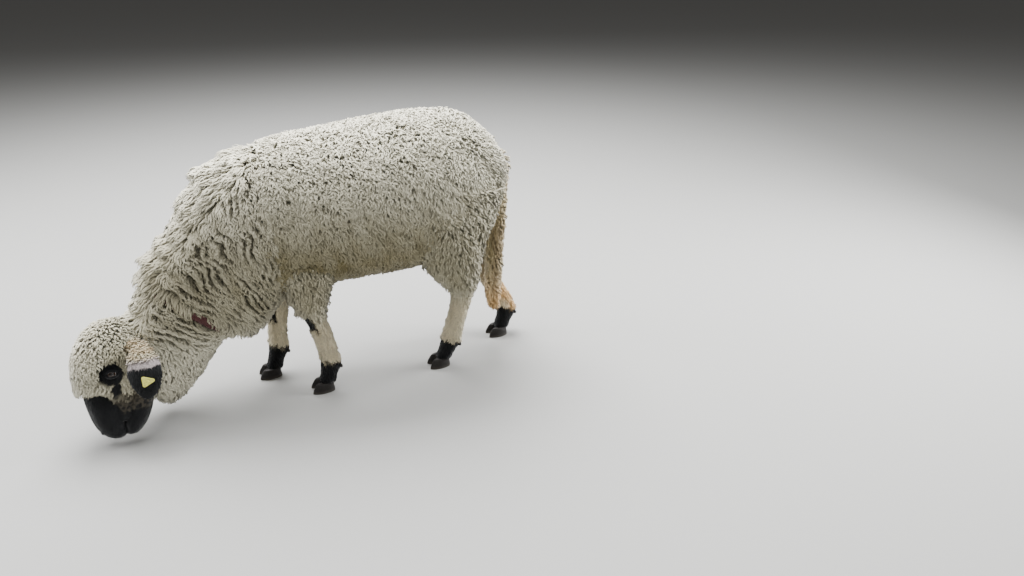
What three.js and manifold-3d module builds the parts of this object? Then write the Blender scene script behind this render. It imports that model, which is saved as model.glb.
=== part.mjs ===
// A grazing Valais blacknose sheep, life size, as a still museum model.
//
// The frame: millimetres, +Z up, the sheep faces -X with its left side towards -Y, and stands on z = 0.
// All the flesh and fleece is modelled whole and then parted with thin cuts into torso, neck, head, tail
// and legs. Hooves, eyes, ears, ear tag and collar are solids of their own.
import * as THREE from "three";
import { mergeVertices } from "three/addons/utils/BufferGeometryUtils.js";
import Module from "manifold-3d";

const wasm = await Module();
wasm.setup();

// Driving dimensions. Stations are measured along the animal with x = 0 between the fore feet.
const GAP = 0.35; // clearance between touching nodes
const FEET_TO_CENTRE = new THREE.Vector3(-79, 0, 0); // from between the fore feet to the box centre
const SEED = 20417;
const COARSE = 3.6; // how far the fused wool may move to lose its slivers
const FINEST = 0.1; // edges shorter than this are closed up at the end
const PINCH = 0.01; // corners closer than this are drawn apart

// How far the wool clumps stand out of the core, how far apart they grow and above what height.
const COAT = {
  torso: { height: 31, spacing: 92 },
  neck: { height: 32, spacing: 84 },
  forehead: { height: 22, spacing: 46 },
  cheek: { height: 12, spacing: 44 },
  hindLeg: { height: 18, spacing: 63, above: 250 },
  foreLeg: { height: 13, spacing: 58, above: 235 },
  tail: { height: 14, spacing: 54 },
};

// A clump: its rings' height and girth as shares of the coat's height and of its own width.
const CLUMP_SIDES = 6;
const CLUMP_RISE = [-0.42, 0.3, 0.92];
const CLUMP_GIRTH = [0.74, 1, 0.5];
const CLUMP_WIDTH = 0.72; // half a clump's width, as a share of the spacing
const CLUMP_LIE = new THREE.Vector3(0.3, 0, -1); // the coat hangs down and back
const PLACES = 6000;
const SPREADING_ROUNDS = 4;

// The fleece outline of the torso: x, top, bottom, half width.
const TORSO = [
  [-150, 642, 400, 70],
  [-100, 715, 328, 125],
  [-30, 747, 304, 160],
  [60, 759, 317, 180],
  [160, 769, 328, 195],
  [280, 782, 332, 205],
  [400, 791, 339, 205],
  [480, 786, 364, 195],
  [552, 757, 401, 173],
  [607, 709, 468, 142],
  [641, 645, 498, 101],
  [650, 586, 528, 48],
];

// The fleece outline of the neck: nape x, nape z, throat x, throat z, y, half width.
const NECK = [
  [30, 688, 60, 345, 0, 110],
  [-60, 741, -11, 297, 0, 152],
  [-145, 712, -59, 246, 0, 150],
  [-225, 635, -103, 194, 0, 138],
  [-296, 539, -190, 194, -2, 126],
  [-362, 445, -245, 130, -8, 113],
  [-414, 354, -275, 90, -18, 101],
  [-444, 302, -350, 32, -30, 86],
  [-453, 262, -368, 112, -42, 55],
];

// The head has a frame of its own: s runs from the tip of the muzzle up to the poll, f towards the face.
const MUZZLE_TIP = new THREE.Vector3(-499, -147, 27);
const TO_NOSE = new THREE.Vector3(0.02, -0.37, -0.93).normalize();
const TO_LEFT = new THREE.Vector3(0, -0.93, 0.37).projectOnPlane(TO_NOSE).normalize();

// The skull with its skin: s, front, back, half width.
const SKULL = [
  [0, -2, -25, 19],
  [7, 13, -31, 31],
  [28, 31, -36, 41],
  [58, 43, -46, 44],
  [95, 50, -66, 45],
  [130, 53, -82, 51],
  [165, 54, -95, 58],
  [195, 52, -102, 63],
  [225, 45, -102, 63],
  [255, 30, -94, 57],
  [280, 8, -80, 45],
  [295, -15, -60, 24],
];

// The lower jaw: s, front, back, half width.
const JAW = [
  [2, -34, -52, 17],
  [10, -31, -66, 27],
  [30, -28, -84, 34],
  [55, -32, -98, 38],
  [90, -44, -110, 43],
  [140, -60, -118, 47],
  [190, -74, -119, 43],
  [215, -84, -108, 28],
];

// The cheeks, which fill the valley between skull and jaw: s, front, back, half width.
const CHEEKS = [
  [44, -8, -52, 36],
  [56, -4, -70, 41],
  [90, 0, -86, 44.5],
  [140, -4, -96, 50],
  [190, -20, -98, 52],
  [205, -40, -90, 40],
];

// Swellings of the head: s, f, side, and the half axes along the nose, sideways and towards the face.
const UPPER_LIP = [17, -13, 17, 17, 19, 21];
const LOWER_LIP = [17, -50, 0, 17, 27, 17];
const BROW = [186, -29, 48, 10, 13, 19];
const EAR_BASE = [234, -92, 54, 17, 17, 24];
const NOSTRIL_WING = [24, 17, 19, 8, 8, 11];
const NOSTRIL = [20, 15, 19, 3.4, 6.5, 9.5];
const NOSTRIL_TURN = 0.5; // the slit's slant, in radians

const EYE = { s: 173, f: -31, side: 50, radius: 14 };
const LID = { thickness: 3.2, ring: 15.5, opening: 0.52, out: 12.5, sunk: 5.5 };

// The ear: down from its root, to the rear, out from the head, half width, bend of the cup.
const EAR_ROOT = { s: 236, f: -104, side: 52 };
const EAR = [
  [0, 0, 0, 17, 4],
  [12, -3, 18, 23, 8],
  [32, -6, 36, 31, 12],
  [56, -8, 46, 40, 13],
  [80, -8, 50, 41, 11],
  [106, -7, 49, 34, 8],
  [128, -4, 46, 21, 4],
  [140, -2, 45, 8, 1],
];
const EAR_THICK = 7;

// Legs from the body down to the coronet: x, y, z, half depth, half width.
const FORE_LEG = [
  [-6, 82, 420, 64, 56],
  [-14, 90, 335, 50, 50],
  [-15, 90, 285, 36, 42],
  [-8, 87, 245, 28, 35],
  [3, 84, 215, 29, 30],
  [14, 80, 165, 29, 27],
  [22, 77, 118, 29, 27],
  [25, 75, 84, 32, 28],
  [17, 73, 54, 26, 25],
  [8, 71, 24, 27, 25],
];
const LEFT_FORE_X = 60;
const RIGHT_FORE_LEG = [
  [-20, 82, 420, 70, 56],
  [-30, 90, 335, 60, 50],
  [-33, 90, 285, 47, 42],
  [-35, 87, 245, 37, 36],
  [-36, 84, 215, 35, 33],
  [-41, 80, 165, 29, 27],
  [-46, 77, 118, 29, 27],
  [-47, 75, 84, 32, 28],
  [-59, 73, 54, 26, 25],
  [-69, 71, 24, 27, 25],
];
const LEFT_HIND_LEG = [
  [468, 92, 560, 128, 70],
  [456, 104, 470, 104, 78],
  [454, 110, 400, 78, 70],
  [462, 110, 350, 62, 58],
  [480, 106, 305, 45, 44],
  [489, 100, 265, 33, 36],
  [482, 91, 205, 30, 30],
  [468, 82, 145, 31, 28],
  [459, 76, 106, 33, 28],
  [454, 71, 78, 33, 28],
  [442, 66, 50, 27, 26],
  [430, 62, 24, 28, 25],
];
const RIGHT_HIND_LEG = [
  [500, 92, 560, 120, 70],
  [520, 104, 470, 112, 78],
  [542, 110, 400, 92, 70],
  [568, 110, 350, 73, 57],
  [602, 106, 305, 53, 45],
  [632, 100, 265, 43, 37],
  [644, 91, 205, 35, 30],
  [677, 82, 145, 33, 28],
  [695, 76, 106, 33, 28],
  [698, 71, 78, 33, 28],
  [684, 66, 50, 27, 26],
  [672, 62, 24, 28, 25],
];

// The tail hangs from the rump to below the hocks: x, z, half depth, half width, before its wool.
const TAIL = [
  [585, 660, 20, 22],
  [628, 628, 22, 26],
  [643, 560, 20, 28],
  [640, 480, 18, 27],
  [636, 400, 17, 25],
  [630, 310, 16, 23],
  [626, 230, 15, 21],
  [627, 165, 13, 17],
  [629, 138, 6, 8],
];

// A claw of a hoof, from its sole up: z, toe x, heel x, half width at the widest.
const CLAW = [
  [0, -46, 20, 13],
  [14, -43, 19, 13.6],
  [30, -33, 16, 12.4],
];
const HOOF_TOP = 30;
const CLAW_SIDE = 14.5; // from the middle of the foot to the middle of a claw
const CLAW_SPLAY = THREE.MathUtils.degToRad(5);

// The dew claws: in from the back of the fetlock, apart, down, their half axes and their slant.
const DEW = { inset: 4, side: 12, down: 4, size: [6, 5.5, 9], turn: THREE.MathUtils.degToRad(-35) };

const COLLAR = {
  centre: new THREE.Vector3(-258, -6, 322),
  tilt: THREE.MathUtils.degToRad(41),
  long: 148,
  wide: 98,
  strap: 25,
  thick: 3,
};

// The ear tag: a plate with three round corners on the back of the left ear, a pin through it and a
// button inside.
const TAG = { down: 92, rear: -4, round: 4.6, thick: 2, pin: 2.6, button: 8, lift: 3, behind: 9 };
const TAG_CORNERS = [
  [-11.5, 0],
  [8.5, 9],
  [8.5, -9],
];

// Where each leg leaves the body: a box from x to x, under a height.
const LEG_CUTS = {
  fore_leg_left: [-25, 135, 335],
  fore_leg_right: [-125, 45, 335],
  hind_leg_left: [396, 700, 392],
  hind_leg_right: [440, 800, 392],
};
const MIDLINE = 52; // the hind legs lie outside this
const FORE_MIDLINE = 14; // and the fore legs outside this

// The flat cuts behind the head and behind the neck: a point and the direction towards the nose.
const HEAD_CUT = { s: 310, f: -60, face: 0.963, nose: 0.27 };
const NECK_CUT = { point: new THREE.Vector3(-70, 0, 745), towards: new THREE.Vector3(-1, 0, 0.07) };

// How many rings each part is rolled from, and how many corners a ring has.
const RINGS = { torso: 17, neck: 13, skull: 14, jaw: 9, cheeks: 6, ear: 10, tail: 14 };
const SIDES = { torso: 22, neck: 20, skull: 18, jaw: 14, cheeks: 12, limb: 10, claw: 12, collar: 32 };

// The tail is what lies behind this outline of x and z.
const TAIL_EDGE = [
  [600, 720],
  [630, 662],
  [640, 580],
  [634, 500],
  [606, 462],
  [560, 400],
  [560, 60],
  [800, 60],
  [800, 720],
];

const X = new THREE.Vector3(1, 0, 0);
const Y = new THREE.Vector3(0, 1, 0);
const Z = new THREE.Vector3(0, 0, 1);

// Helpers.

// Catmull-Rom through the stations, each column by itself.
function between(stations, t) {
  const last = stations.length - 1;
  const i = Math.min(Math.floor(t * last), last - 1);
  const u = t * last - i;
  const at = (k) => stations[Math.min(Math.max(k, 0), last)];
  return at(i).map((p1, c) => {
    const [p0, p2, p3] = [at(i - 1)[c], at(i + 1)[c], at(i + 2)[c]];
    const cubic = (-p0 + 3 * p1 - 3 * p2 + p3) * u ** 3;
    return 0.5 * (2 * p1 + (p2 - p0) * u + (2 * p0 - 5 * p1 + 4 * p2 - p3) * u * u + cubic);
  });
}

// A ring of points on a rounded section. power 2 is an ellipse, more is boxier.
function ring(centre, across, up, sides, power = 2) {
  return Array.from({ length: sides }, (_, i) => {
    const a = (2 * Math.PI * i) / sides;
    const c = Math.sign(Math.cos(a)) * Math.abs(Math.cos(a)) ** (2 / power);
    const s = Math.sign(Math.sin(a)) * Math.abs(Math.sin(a)) ** (2 / power);
    return centre.clone().addScaledVector(across, c).addScaledVector(up, s);
  });
}

// A closed geometry as a manifold-3d solid, turned the right way out.
function solidOf(geometry) {
  const bare = geometry.clone();
  bare.deleteAttribute("normal");
  bare.deleteAttribute("uv");
  const merged = mergeVertices(bare, 1e-3);
  const index = new Uint32Array(merged.index.array);
  const position = new Float32Array(merged.attributes.position.array);
  const point = (i) => new THREE.Vector3().fromArray(position, 3 * i);
  let volume = 0;
  for (let i = 0; i < index.length; i += 3) {
    volume += point(index[i]).dot(point(index[i + 1]).cross(point(index[i + 2])));
  }
  if (volume < 0) {
    for (let i = 0; i < index.length; i += 3) {
      [index[i + 1], index[i + 2]] = [index[i + 2], index[i + 1]];
    }
  }
  return new wasm.Manifold(
    new wasm.Mesh({ numProp: 3, vertProperties: position, triVerts: index }),
  ).asOriginal();
}

// Rings of like length, joined side to side and closed at both ends.
function loft(rings) {
  const sides = rings[0].length;
  const points = rings.flat();
  const index = [];
  for (let r = 0; r + 1 < rings.length; r++) {
    for (let i = 0; i < sides; i++) {
      const [a, b] = [r * sides + i, r * sides + ((i + 1) % sides)];
      index.push(a, b, b + sides, a, b + sides, a + sides);
    }
  }
  const end = points.length - sides;
  for (let i = 1; i + 1 < sides; i++) {
    index.push(0, i + 1, i, end, end + i, end + i + 1);
  }
  const geometry = new THREE.BufferGeometry().setFromPoints(points).setIndex(index);
  return solidOf(geometry);
}

// The same solid and its copies moved a little each way, for the room that a neighbour needs.
function grown(solid, by) {
  const copies = [X, Y, Z].flatMap((way) => {
    const step = way.clone().multiplyScalar(by).toArray();
    return [solid.translate(step), solid.translate(step.map((v) => -v))];
  });
  return wasm.Manifold.union([solid, ...copies]).asOriginal().simplify(0.1 * by);
}

// Rings of like length, joined side to side and the last to the first.
function hoop(rings) {
  const sides = rings[0].length;
  const index = [];
  for (let r = 0; r < rings.length; r++) {
    const next = (r + 1) % rings.length;
    for (let i = 0; i < sides; i++) {
      const j = (i + 1) % sides;
      const [a, b, c, d] = [r * sides + i, r * sides + j, next * sides + j, next * sides + i];
      index.push(a, b, c, a, c, d);
    }
  }
  return solidOf(new THREE.BufferGeometry().setFromPoints(rings.flat()).setIndex(index));
}

// Shapes of three.js, placed by a matrix.
function placed(geometry, matrix) {
  return solidOf(geometry.clone().applyMatrix4(matrix));
}

function boxBetween(low, high) {
  const size = new THREE.Vector3().subVectors(high, low);
  const middle = new THREE.Vector3().addVectors(high, low).multiplyScalar(0.5);
  const box = new THREE.BoxGeometry(size.x, size.y, size.z);
  return placed(box, new THREE.Matrix4().setPosition(middle));
}

function geometryOf(solid) {
  const { numProp, vertProperties, triVerts } = solid.getMesh();
  const points = Array.from({ length: vertProperties.length / numProp }, (_, i) =>
    new THREE.Vector3().fromArray(vertProperties, i * numProp),
  );
  return new THREE.BufferGeometry().setFromPoints(points).setIndex([...triVerts]);
}

// Corners of the surface that meet in one point are drawn apart, each towards its own faces.
function unpinched(geometry) {
  const { position } = geometry.attributes;
  const points = Array.from({ length: position.count }, (_, i) =>
    new THREE.Vector3().fromBufferAttribute(position, i),
  );
  const pulls = points.map(() => new THREE.Vector3());
  const index = geometry.index.array;
  for (let i = 0; i < index.length; i += 3) {
    const corners = [index[i], index[i + 1], index[i + 2]];
    const triangle = new THREE.Triangle(...corners.map((k) => points[k]));
    const middle = triangle.getMidpoint(new THREE.Vector3());
    corners.forEach((k) => pulls[k].add(middle).sub(points[k]));
  }
  const meeting = new Map();
  points.forEach((point, i) => {
    const key = point.toArray().map((v) => Math.round(v / PINCH)).join(" ");
    meeting.set(key, [...(meeting.get(key) ?? []), i]);
  });
  const apart = [...meeting.values()].filter((corners) => corners.length > 1).flat();
  apart.forEach((i) => points[i].addScaledVector(pulls[i].normalize(), 5 * PINCH));
  return geometry.setFromPoints(points);
}

// The largest closed surface of a solid, without slivers.
function largest(solid) {
  const biggest = (all) => all.reduce((a, b) => (b.volume() > a.volume() ? b : a));
  const whole = biggest(solid.simplify(FINEST).decompose());
  return biggest(solidOf(unpinched(geometryOf(whole))).decompose());
}

// Mulberry32, so that each build draws the same numbers.
let state = SEED;
function random() {
  state = (state + 0x6d2b79f5) | 0;
  let t = Math.imul(state ^ (state >>> 15), 1 | state);
  t = (t + Math.imul(t ^ (t >>> 7), 61 | t)) ^ t;
  return ((t ^ (t >>> 14)) >>> 0) / 4294967296;
}

function vary(share) {
  return 1 + share * (2 * random() - 1);
}

// Torso and neck, as cores below the wool clumps.

function torsoCore(inset) {
  const middle = (TORSO[0][0] + TORSO.at(-1)[0]) / 2;
  const shorter = 1 - inset / (TORSO.at(-1)[0] - middle);
  const rings = Array.from({ length: RINGS.torso }, (_, i) => {
    const [x, top, bottom, half] = between(TORSO, i / (RINGS.torso - 1));
    const centre = new THREE.Vector3(middle + (x - middle) * shorter, 0, (top + bottom) / 2);
    const up = Z.clone().multiplyScalar((top - bottom) / 2 - inset);
    return ring(centre, Y.clone().multiplyScalar(half - inset), up, SIDES.torso, 2.2);
  });
  return loft(rings);
}

function neckCore(inset) {
  const rings = Array.from({ length: RINGS.neck }, (_, i) => {
    const [napeX, napeZ, throatX, throatZ, y, half] = between(NECK, i / (RINGS.neck - 1));
    const nape = new THREE.Vector3(napeX, y, napeZ);
    const throat = new THREE.Vector3(throatX, y, throatZ);
    const up = nape.clone().sub(throat);
    const centre = nape.add(throat).multiplyScalar(0.5);
    up.setLength(up.length() / 2 - inset);
    return ring(centre, Y.clone().multiplyScalar(half - inset), up, SIDES.neck, 2.1);
  });
  return loft(rings);
}

// The head.

const TO_FACE = new THREE.Vector3().crossVectors(TO_NOSE, TO_LEFT);

function headPoint(s, f, side) {
  return MUZZLE_TIP.clone()
    .addScaledVector(TO_NOSE, -s)
    .addScaledVector(TO_FACE, f)
    .addScaledVector(TO_LEFT, side);
}

function headLoft(stations, count, sides) {
  const rings = Array.from({ length: count }, (_, i) => {
    const [s, front, back, half] = between(stations, i / (count - 1));
    const centre = headPoint(s, (front + back) / 2, 0);
    const up = TO_FACE.clone().multiplyScalar((front - back) / 2);
    return ring(centre, TO_LEFT.clone().multiplyScalar(half), up, sides, 2.3);
  });
  return loft(rings);
}

// An ellipsoid in the head's frame: its place, then its half axes along nose, side and face.
function headEllipsoid([s, f, side, along, wide, deep], hand = 1, turn = 0, detail = 10) {
  const base = new THREE.Matrix4().makeBasis(TO_NOSE, TO_LEFT, TO_FACE);
  const matrix = new THREE.Matrix4()
    .setPosition(headPoint(s, f, hand * side))
    .multiply(base)
    .multiply(new THREE.Matrix4().makeRotationY(hand * turn))
    .multiply(new THREE.Matrix4().makeScale(along, wide, deep));
  return placed(new THREE.SphereGeometry(1, detail, Math.ceil(detail * 0.7)), matrix);
}

// An eyelid is a ridge along an arc over or under the eyeball.
function eyelid(hand, over) {
  const rings = Array.from({ length: 7 }, (_, i) => {
    const a = Math.PI * (i / 6);
    const along = LID.ring * Math.cos(a);
    const across = over * LID.ring * LID.opening * Math.sin(a);
    const out = EYE.side + LID.out - LID.sunk * Math.cos(a) ** 2;
    const middle = headPoint(EYE.s + across, EYE.f + along, hand * out);
    const girth = LID.thickness * (0.55 + 0.45 * Math.sin(a));
    const outward = TO_LEFT.clone().multiplyScalar(hand * girth * 1.5);
    return ring(middle, TO_NOSE.clone().multiplyScalar(girth), outward, 6);
  });
  return loft(rings);
}

// Two upper lips with a cleft between them over the lower lip; their meeting is the mouth line.
function bareHead() {
  let head = wasm.Manifold.union([
    headLoft(SKULL, RINGS.skull, SIDES.skull),
    headLoft(JAW, RINGS.jaw, SIDES.jaw),
    headLoft(CHEEKS, RINGS.cheeks, SIDES.cheeks),
    headEllipsoid(LOWER_LIP),
  ]);
  for (const hand of [1, -1]) {
    for (const swelling of [UPPER_LIP, BROW, EAR_BASE]) {
      head = head.add(headEllipsoid(swelling, hand));
    }
    head = head.add(headEllipsoid(NOSTRIL_WING, hand, NOSTRIL_TURN, 8));
    head = head.subtract(headEllipsoid(NOSTRIL, hand, NOSTRIL_TURN, 8));
    head = head.subtract(eyeball(hand, GAP));
    head = head.add(eyelid(hand, 1)).add(eyelid(hand, -1)).subtract(eyeball(hand, GAP));
  }
  return head;
}

function eyeball(hand, more = 0) {
  const size = EYE.radius + more;
  return headEllipsoid([EYE.s, EYE.f, EYE.side, size, size, size], hand, 0, 13);
}

// The ear hangs from its root with its back outwards: a cupped leaf, thicker at the root.
function ear(hand) {
  const rings = Array.from({ length: RINGS.ear }, (_, i) => {
    const t = i / (RINGS.ear - 1);
    const [down, rear, out, half, cup] = between(EAR, t);
    const middle = headPoint(EAR_ROOT.s - down, EAR_ROOT.f + rear, hand * (EAR_ROOT.side + out));
    const next = between(EAR, Math.min(t + 0.02, 1));
    const before = between(EAR, Math.max(t - 0.02, 0));
    const course = headPoint(-next[0], next[1], hand * next[2]).sub(
      headPoint(-before[0], before[1], hand * before[2]),
    );
    const wide = TO_FACE.clone().projectOnPlane(course).normalize();
    const outward = new THREE.Vector3().crossVectors(wide, course).normalize().multiplyScalar(hand);
    const thick = EAR_THICK * (1.4 - 0.7 * t) * Math.min(1, half / 14);
    return cuppedRing(middle, wide, outward, half, cup, thick);
  });
  return loft(rings);
}

// A leaf's section: the back bulges outwards by cup and the inside is hollowed alike.
function cuppedRing(middle, wide, outward, half, cup, thick) {
  const steps = 6;
  const row = (side) =>
    Array.from({ length: steps + 1 }, (_, i) => {
      const u = -1 + (2 * i) / steps;
      const edge = Math.sqrt(Math.max(0.12, 1 - u * u));
      const rise = cup * (1 - u * u) + (side * thick * edge) / 2;
      return middle.clone().addScaledVector(wide, u * half).addScaledVector(outward, rise);
    });
  return [...row(1), ...row(-1).reverse()];
}

// Legs, hooves and tail.

const LEGS = {
  fore_leg_left: { hand: -1, stations: FORE_LEG.map(([x, ...rest]) => [x + LEFT_FORE_X, ...rest]) },
  fore_leg_right: { hand: 1, stations: RIGHT_FORE_LEG },
  hind_leg_left: { hand: -1, stations: LEFT_HIND_LEG },
  hind_leg_right: { hand: 1, stations: RIGHT_HIND_LEG },
};

function legCore({ hand, stations }) {
  const count = Math.round(1.3 * stations.length);
  const rings = Array.from({ length: count }, (_, i) => {
    const [x, y, z, deep, half] = between(stations, i / (count - 1));
    const centre = new THREE.Vector3(x, hand * y, z);
    return ring(centre, X.clone().multiplyScalar(deep), Y.clone().multiplyScalar(half), SIDES.limb, 2.1);
  });
  return loft(rings);
}

// Two small dew claws sit behind the fetlock.
function dewClaws({ hand, stations }) {
  const [x, y, z, deep] = stations.at(-3);
  return [-1, 1].map((side) => {
    const matrix = new THREE.Matrix4()
      .makeTranslation(x + deep - DEW.inset, hand * y + side * DEW.side, z - DEW.down)
      .multiply(new THREE.Matrix4().makeRotationY(DEW.turn))
      .multiply(new THREE.Matrix4().makeScale(...DEW.size));
    return placed(new THREE.SphereGeometry(1, 7, 5), matrix);
  });
}

// One claw: flat on its inner side, rounded outside, pointed at the toe.
function claw({ hand, stations }, side) {
  const [x, y] = stations.at(-1);
  const turn = new THREE.Matrix4()
    .makeTranslation(x, hand * y + side * CLAW_SIDE, 0)
    .multiply(new THREE.Matrix4().makeRotationZ(-side * CLAW_SPLAY));
  const outline = (toe, heel, half) => {
    const middle = (toe + heel) / 2;
    const reach = (heel - toe) / 2;
    return Array.from({ length: SIDES.claw }, (_, i) => {
      const a = (2 * Math.PI * i) / SIDES.claw;
      const towardsToe = Math.cos(a) < 0 ? 0.35 * Math.cos(a) ** 2 : 0;
      const flat = Math.sin(a) < 0 ? 0.72 : 1;
      const across = half * flat * Math.sin(a) * (1 - towardsToe);
      return [middle + reach * Math.cos(a), side * across - side * 0.12 * half * towardsToe];
    });
  };
  const rings = CLAW.map(([z, toe, heel, half]) =>
    outline(toe, heel, half).map(([px, py]) => new THREE.Vector3(px, py, z).applyMatrix4(turn)),
  );
  return loft(rings);
}

function tailCore() {
  const rings = Array.from({ length: RINGS.tail }, (_, i) => {
    const [x, z, deep, half] = between(TAIL, i / (RINGS.tail - 1));
    const centre = new THREE.Vector3(x, 0, z);
    return ring(centre, X.clone().multiplyScalar(deep), Y.clone().multiplyScalar(half), SIDES.limb);
  });
  return loft(rings);
}

// The collar is a strap round the neck, pulled down towards the breast.
function collarHoop(room = 0) {
  const down = new THREE.Vector3(Math.cos(COLLAR.tilt), 0, -Math.sin(COLLAR.tilt));
  const axis = new THREE.Vector3().crossVectors(down, Y);
  const rim = (reach, level) =>
    ring(
      COLLAR.centre.clone().addScaledVector(axis, level),
      down.clone().multiplyScalar(COLLAR.long + reach),
      Y.clone().multiplyScalar(COLLAR.wide + reach),
      SIDES.collar,
    );
  const edge = COLLAR.strap / 2 + room;
  const [inner, outer] = [-COLLAR.thick / 2 - room, COLLAR.thick / 2 + (room ? 80 : 0)];
  return hoop([rim(inner, -edge), rim(outer, -edge), rim(outer, edge), rim(inner, edge)]);
}

// The ear tag's plate lies on the outside of the ear, its button on the inside.
function earTag(more = 0) {
  const [, rear, out, , cup] = between(EAR, 0.6);
  const spot = headPoint(EAR_ROOT.s - TAG.down, EAR_ROOT.f + rear + TAG.rear, EAR_ROOT.side + out + cup);
  const matrix = new THREE.Matrix4().makeBasis(TO_FACE, TO_NOSE, TO_LEFT.clone().negate());
  matrix.setPosition(spot);
  // A disc between two heights, with its edge rounded about the nearest of its corners.
  const disc = (radius, sides, low, high, corners = [[0, 0]]) => {
    const edge = Array.from({ length: sides }, (_, i) => {
      const a = (2 * Math.PI * (i + 0.5)) / sides;
      const [ux, uy] = [Math.cos(a), Math.sin(a)];
      const reach = ([cx, cy]) => cx * ux + cy * uy;
      const [cx, cy] = corners.reduce((best, corner) => (reach(corner) > reach(best) ? corner : best));
      return [cx + radius * ux, cy + radius * uy];
    });
    const at = (z) => edge.map(([x, y]) => new THREE.Vector3(x, y, z).applyMatrix4(matrix));
    return loft([at(low), at(high)]);
  };
  const top = -TAG.lift;
  const round = TAG.round + more;
  const inside = TAG.behind;
  return disc(round, 18, top - TAG.thick - more, top + more, TAG_CORNERS)
    .add(disc(TAG.pin + more, 8, top - 1, inside + 1))
    .add(disc(TAG.button + more, 12, inside - more, inside + TAG.thick + more));
}

// The wool clumps.

// A clump is rounded, sunk into the core at its root, and leans along the lie of the coat.
function clump(root, normal, lie, width, height) {
  const across = new THREE.Vector3().crossVectors(normal, lie).normalize();
  const spin = 0.5 * (random() - 0.5);
  const lean = 0.7 * height * vary(0.3);
  const rings = CLUMP_RISE.map((rise, k) => {
    const centre = root.clone().addScaledVector(normal, rise * height);
    centre.addScaledVector(lie, lean * Math.max(rise, 0) ** 2);
    return Array.from({ length: CLUMP_SIDES }, (_, i) => {
      const a = spin + (2 * Math.PI * i) / CLUMP_SIDES;
      const reach = CLUMP_GIRTH[k] * width * vary(0.1);
      return centre
        .clone()
        .addScaledVector(lie, 1.12 * reach * Math.cos(a))
        .addScaledVector(across, 0.9 * reach * Math.sin(a));
    });
  });
  return loft(rings);
}

// Candidate places on the core's surface, each with its normal and the piece that it lies on.
function surfaceSpots(core, names, count) {
  const mesh = core.getMesh();
  const at = (i) => new THREE.Vector3().fromArray(mesh.vertProperties, i * mesh.numProp);
  const faces = [];
  let total = 0;
  mesh.runOriginalID.forEach((id, run) => {
    for (let t = mesh.runIndex[run] / 3; t < mesh.runIndex[run + 1] / 3; t++) {
      const corners = [0, 1, 2].map((k) => at(mesh.triVerts[3 * t + k]));
      const triangle = new THREE.Triangle(...corners);
      total += triangle.getArea();
      faces.push({ triangle, total, name: names.get(id) });
    }
  });
  return Array.from({ length: count }, () => {
    const wanted = random() * total;
    let [low, high] = [0, faces.length - 1];
    while (low < high) {
      const middle = (low + high) >> 1;
      if (faces[middle].total < wanted) low = middle + 1;
      else high = middle;
    }
    const { triangle, name } = faces[low];
    let [u, v] = [random(), random()];
    if (u + v > 1) [u, v] = [1 - u, 1 - v];
    const point = triangle.a
      .clone()
      .addScaledVector(triangle.b.clone().sub(triangle.a), u)
      .addScaledVector(triangle.c.clone().sub(triangle.a), v);
    return { point, normal: triangle.getNormal(new THREE.Vector3()), name };
  });
}

// Which coat grows at a place on the head: none on the muzzle, round the eyes or at the ears.
function headCoat(point) {
  const from = point.clone().sub(MUZZLE_TIP);
  const s = -from.dot(TO_NOSE);
  const f = from.dot(TO_FACE);
  const side = from.dot(TO_LEFT);
  const eyeAway = Math.hypot(s - EYE.s, f - EYE.f, Math.abs(side) - EYE.side);
  const earAway = Math.hypot(s - EAR_ROOT.s, f - EAR_ROOT.f, Math.abs(side) - EAR_ROOT.side - 10);
  if (s < 138 || eyeAway < 40 || earAway < 30) return null;
  return f > -20 || s > 240 ? COAT.forehead : COAT.cheek;
}

function coatAt({ point, name }) {
  if (name === "head") return headCoat(point);
  return point.z < (COAT[name].above ?? 0) ? null : COAT[name];
}

// Roots are thrown at random, no two closer than the coat's spacing, and then spread evenly: each
// moves to the middle of the places that are nearest to it.
function evenRoots(places) {
  const roots = [];
  for (const place of places) {
    const room = (other) => Math.min(place.coat.spacing, other.coat.spacing);
    if (roots.every((other) => other.point.distanceTo(place.point) > room(other))) roots.push(place);
  }
  const nearest = (place, from) => {
    const far = (other) =>
      other.point.distanceTo(place.point) * (other.normal.dot(place.normal) < 0 ? 3 : 1);
    return from.reduce((best, other) => (far(other) < far(best) ? other : best));
  };
  for (let round = 0; round < SPREADING_ROUNDS; round++) {
    const near = new Map(roots.map((root) => [root, []]));
    for (const place of places) near.get(nearest(place, roots)).push(place);
    roots.forEach((root, i) => {
      const own = near.get(root);
      const middle = new THREE.Vector3();
      own.forEach((place) => middle.addScaledVector(place.point, 1 / own.length));
      roots[i] = nearest({ point: middle, normal: root.normal }, own);
    });
  }
  return roots;
}

function woolClumps(core, names) {
  const places = surfaceSpots(core, names, PLACES)
    .map((spot) => ({ ...spot, coat: coatAt(spot) }))
    .filter((spot) => spot.coat);
  return evenRoots(places).map(({ point, normal, coat }) => {
    const lie = CLUMP_LIE.clone().projectOnPlane(normal);
    if (lie.length() < 0.2) lie.addScaledVector(X, 0.2).projectOnPlane(normal);
    const width = CLUMP_WIDTH * coat.spacing * vary(0.08);
    return clump(point, normal, lie.normalize(), width, coat.height * vary(0.12));
  });
}

// The animal whole, then parted.

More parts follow.
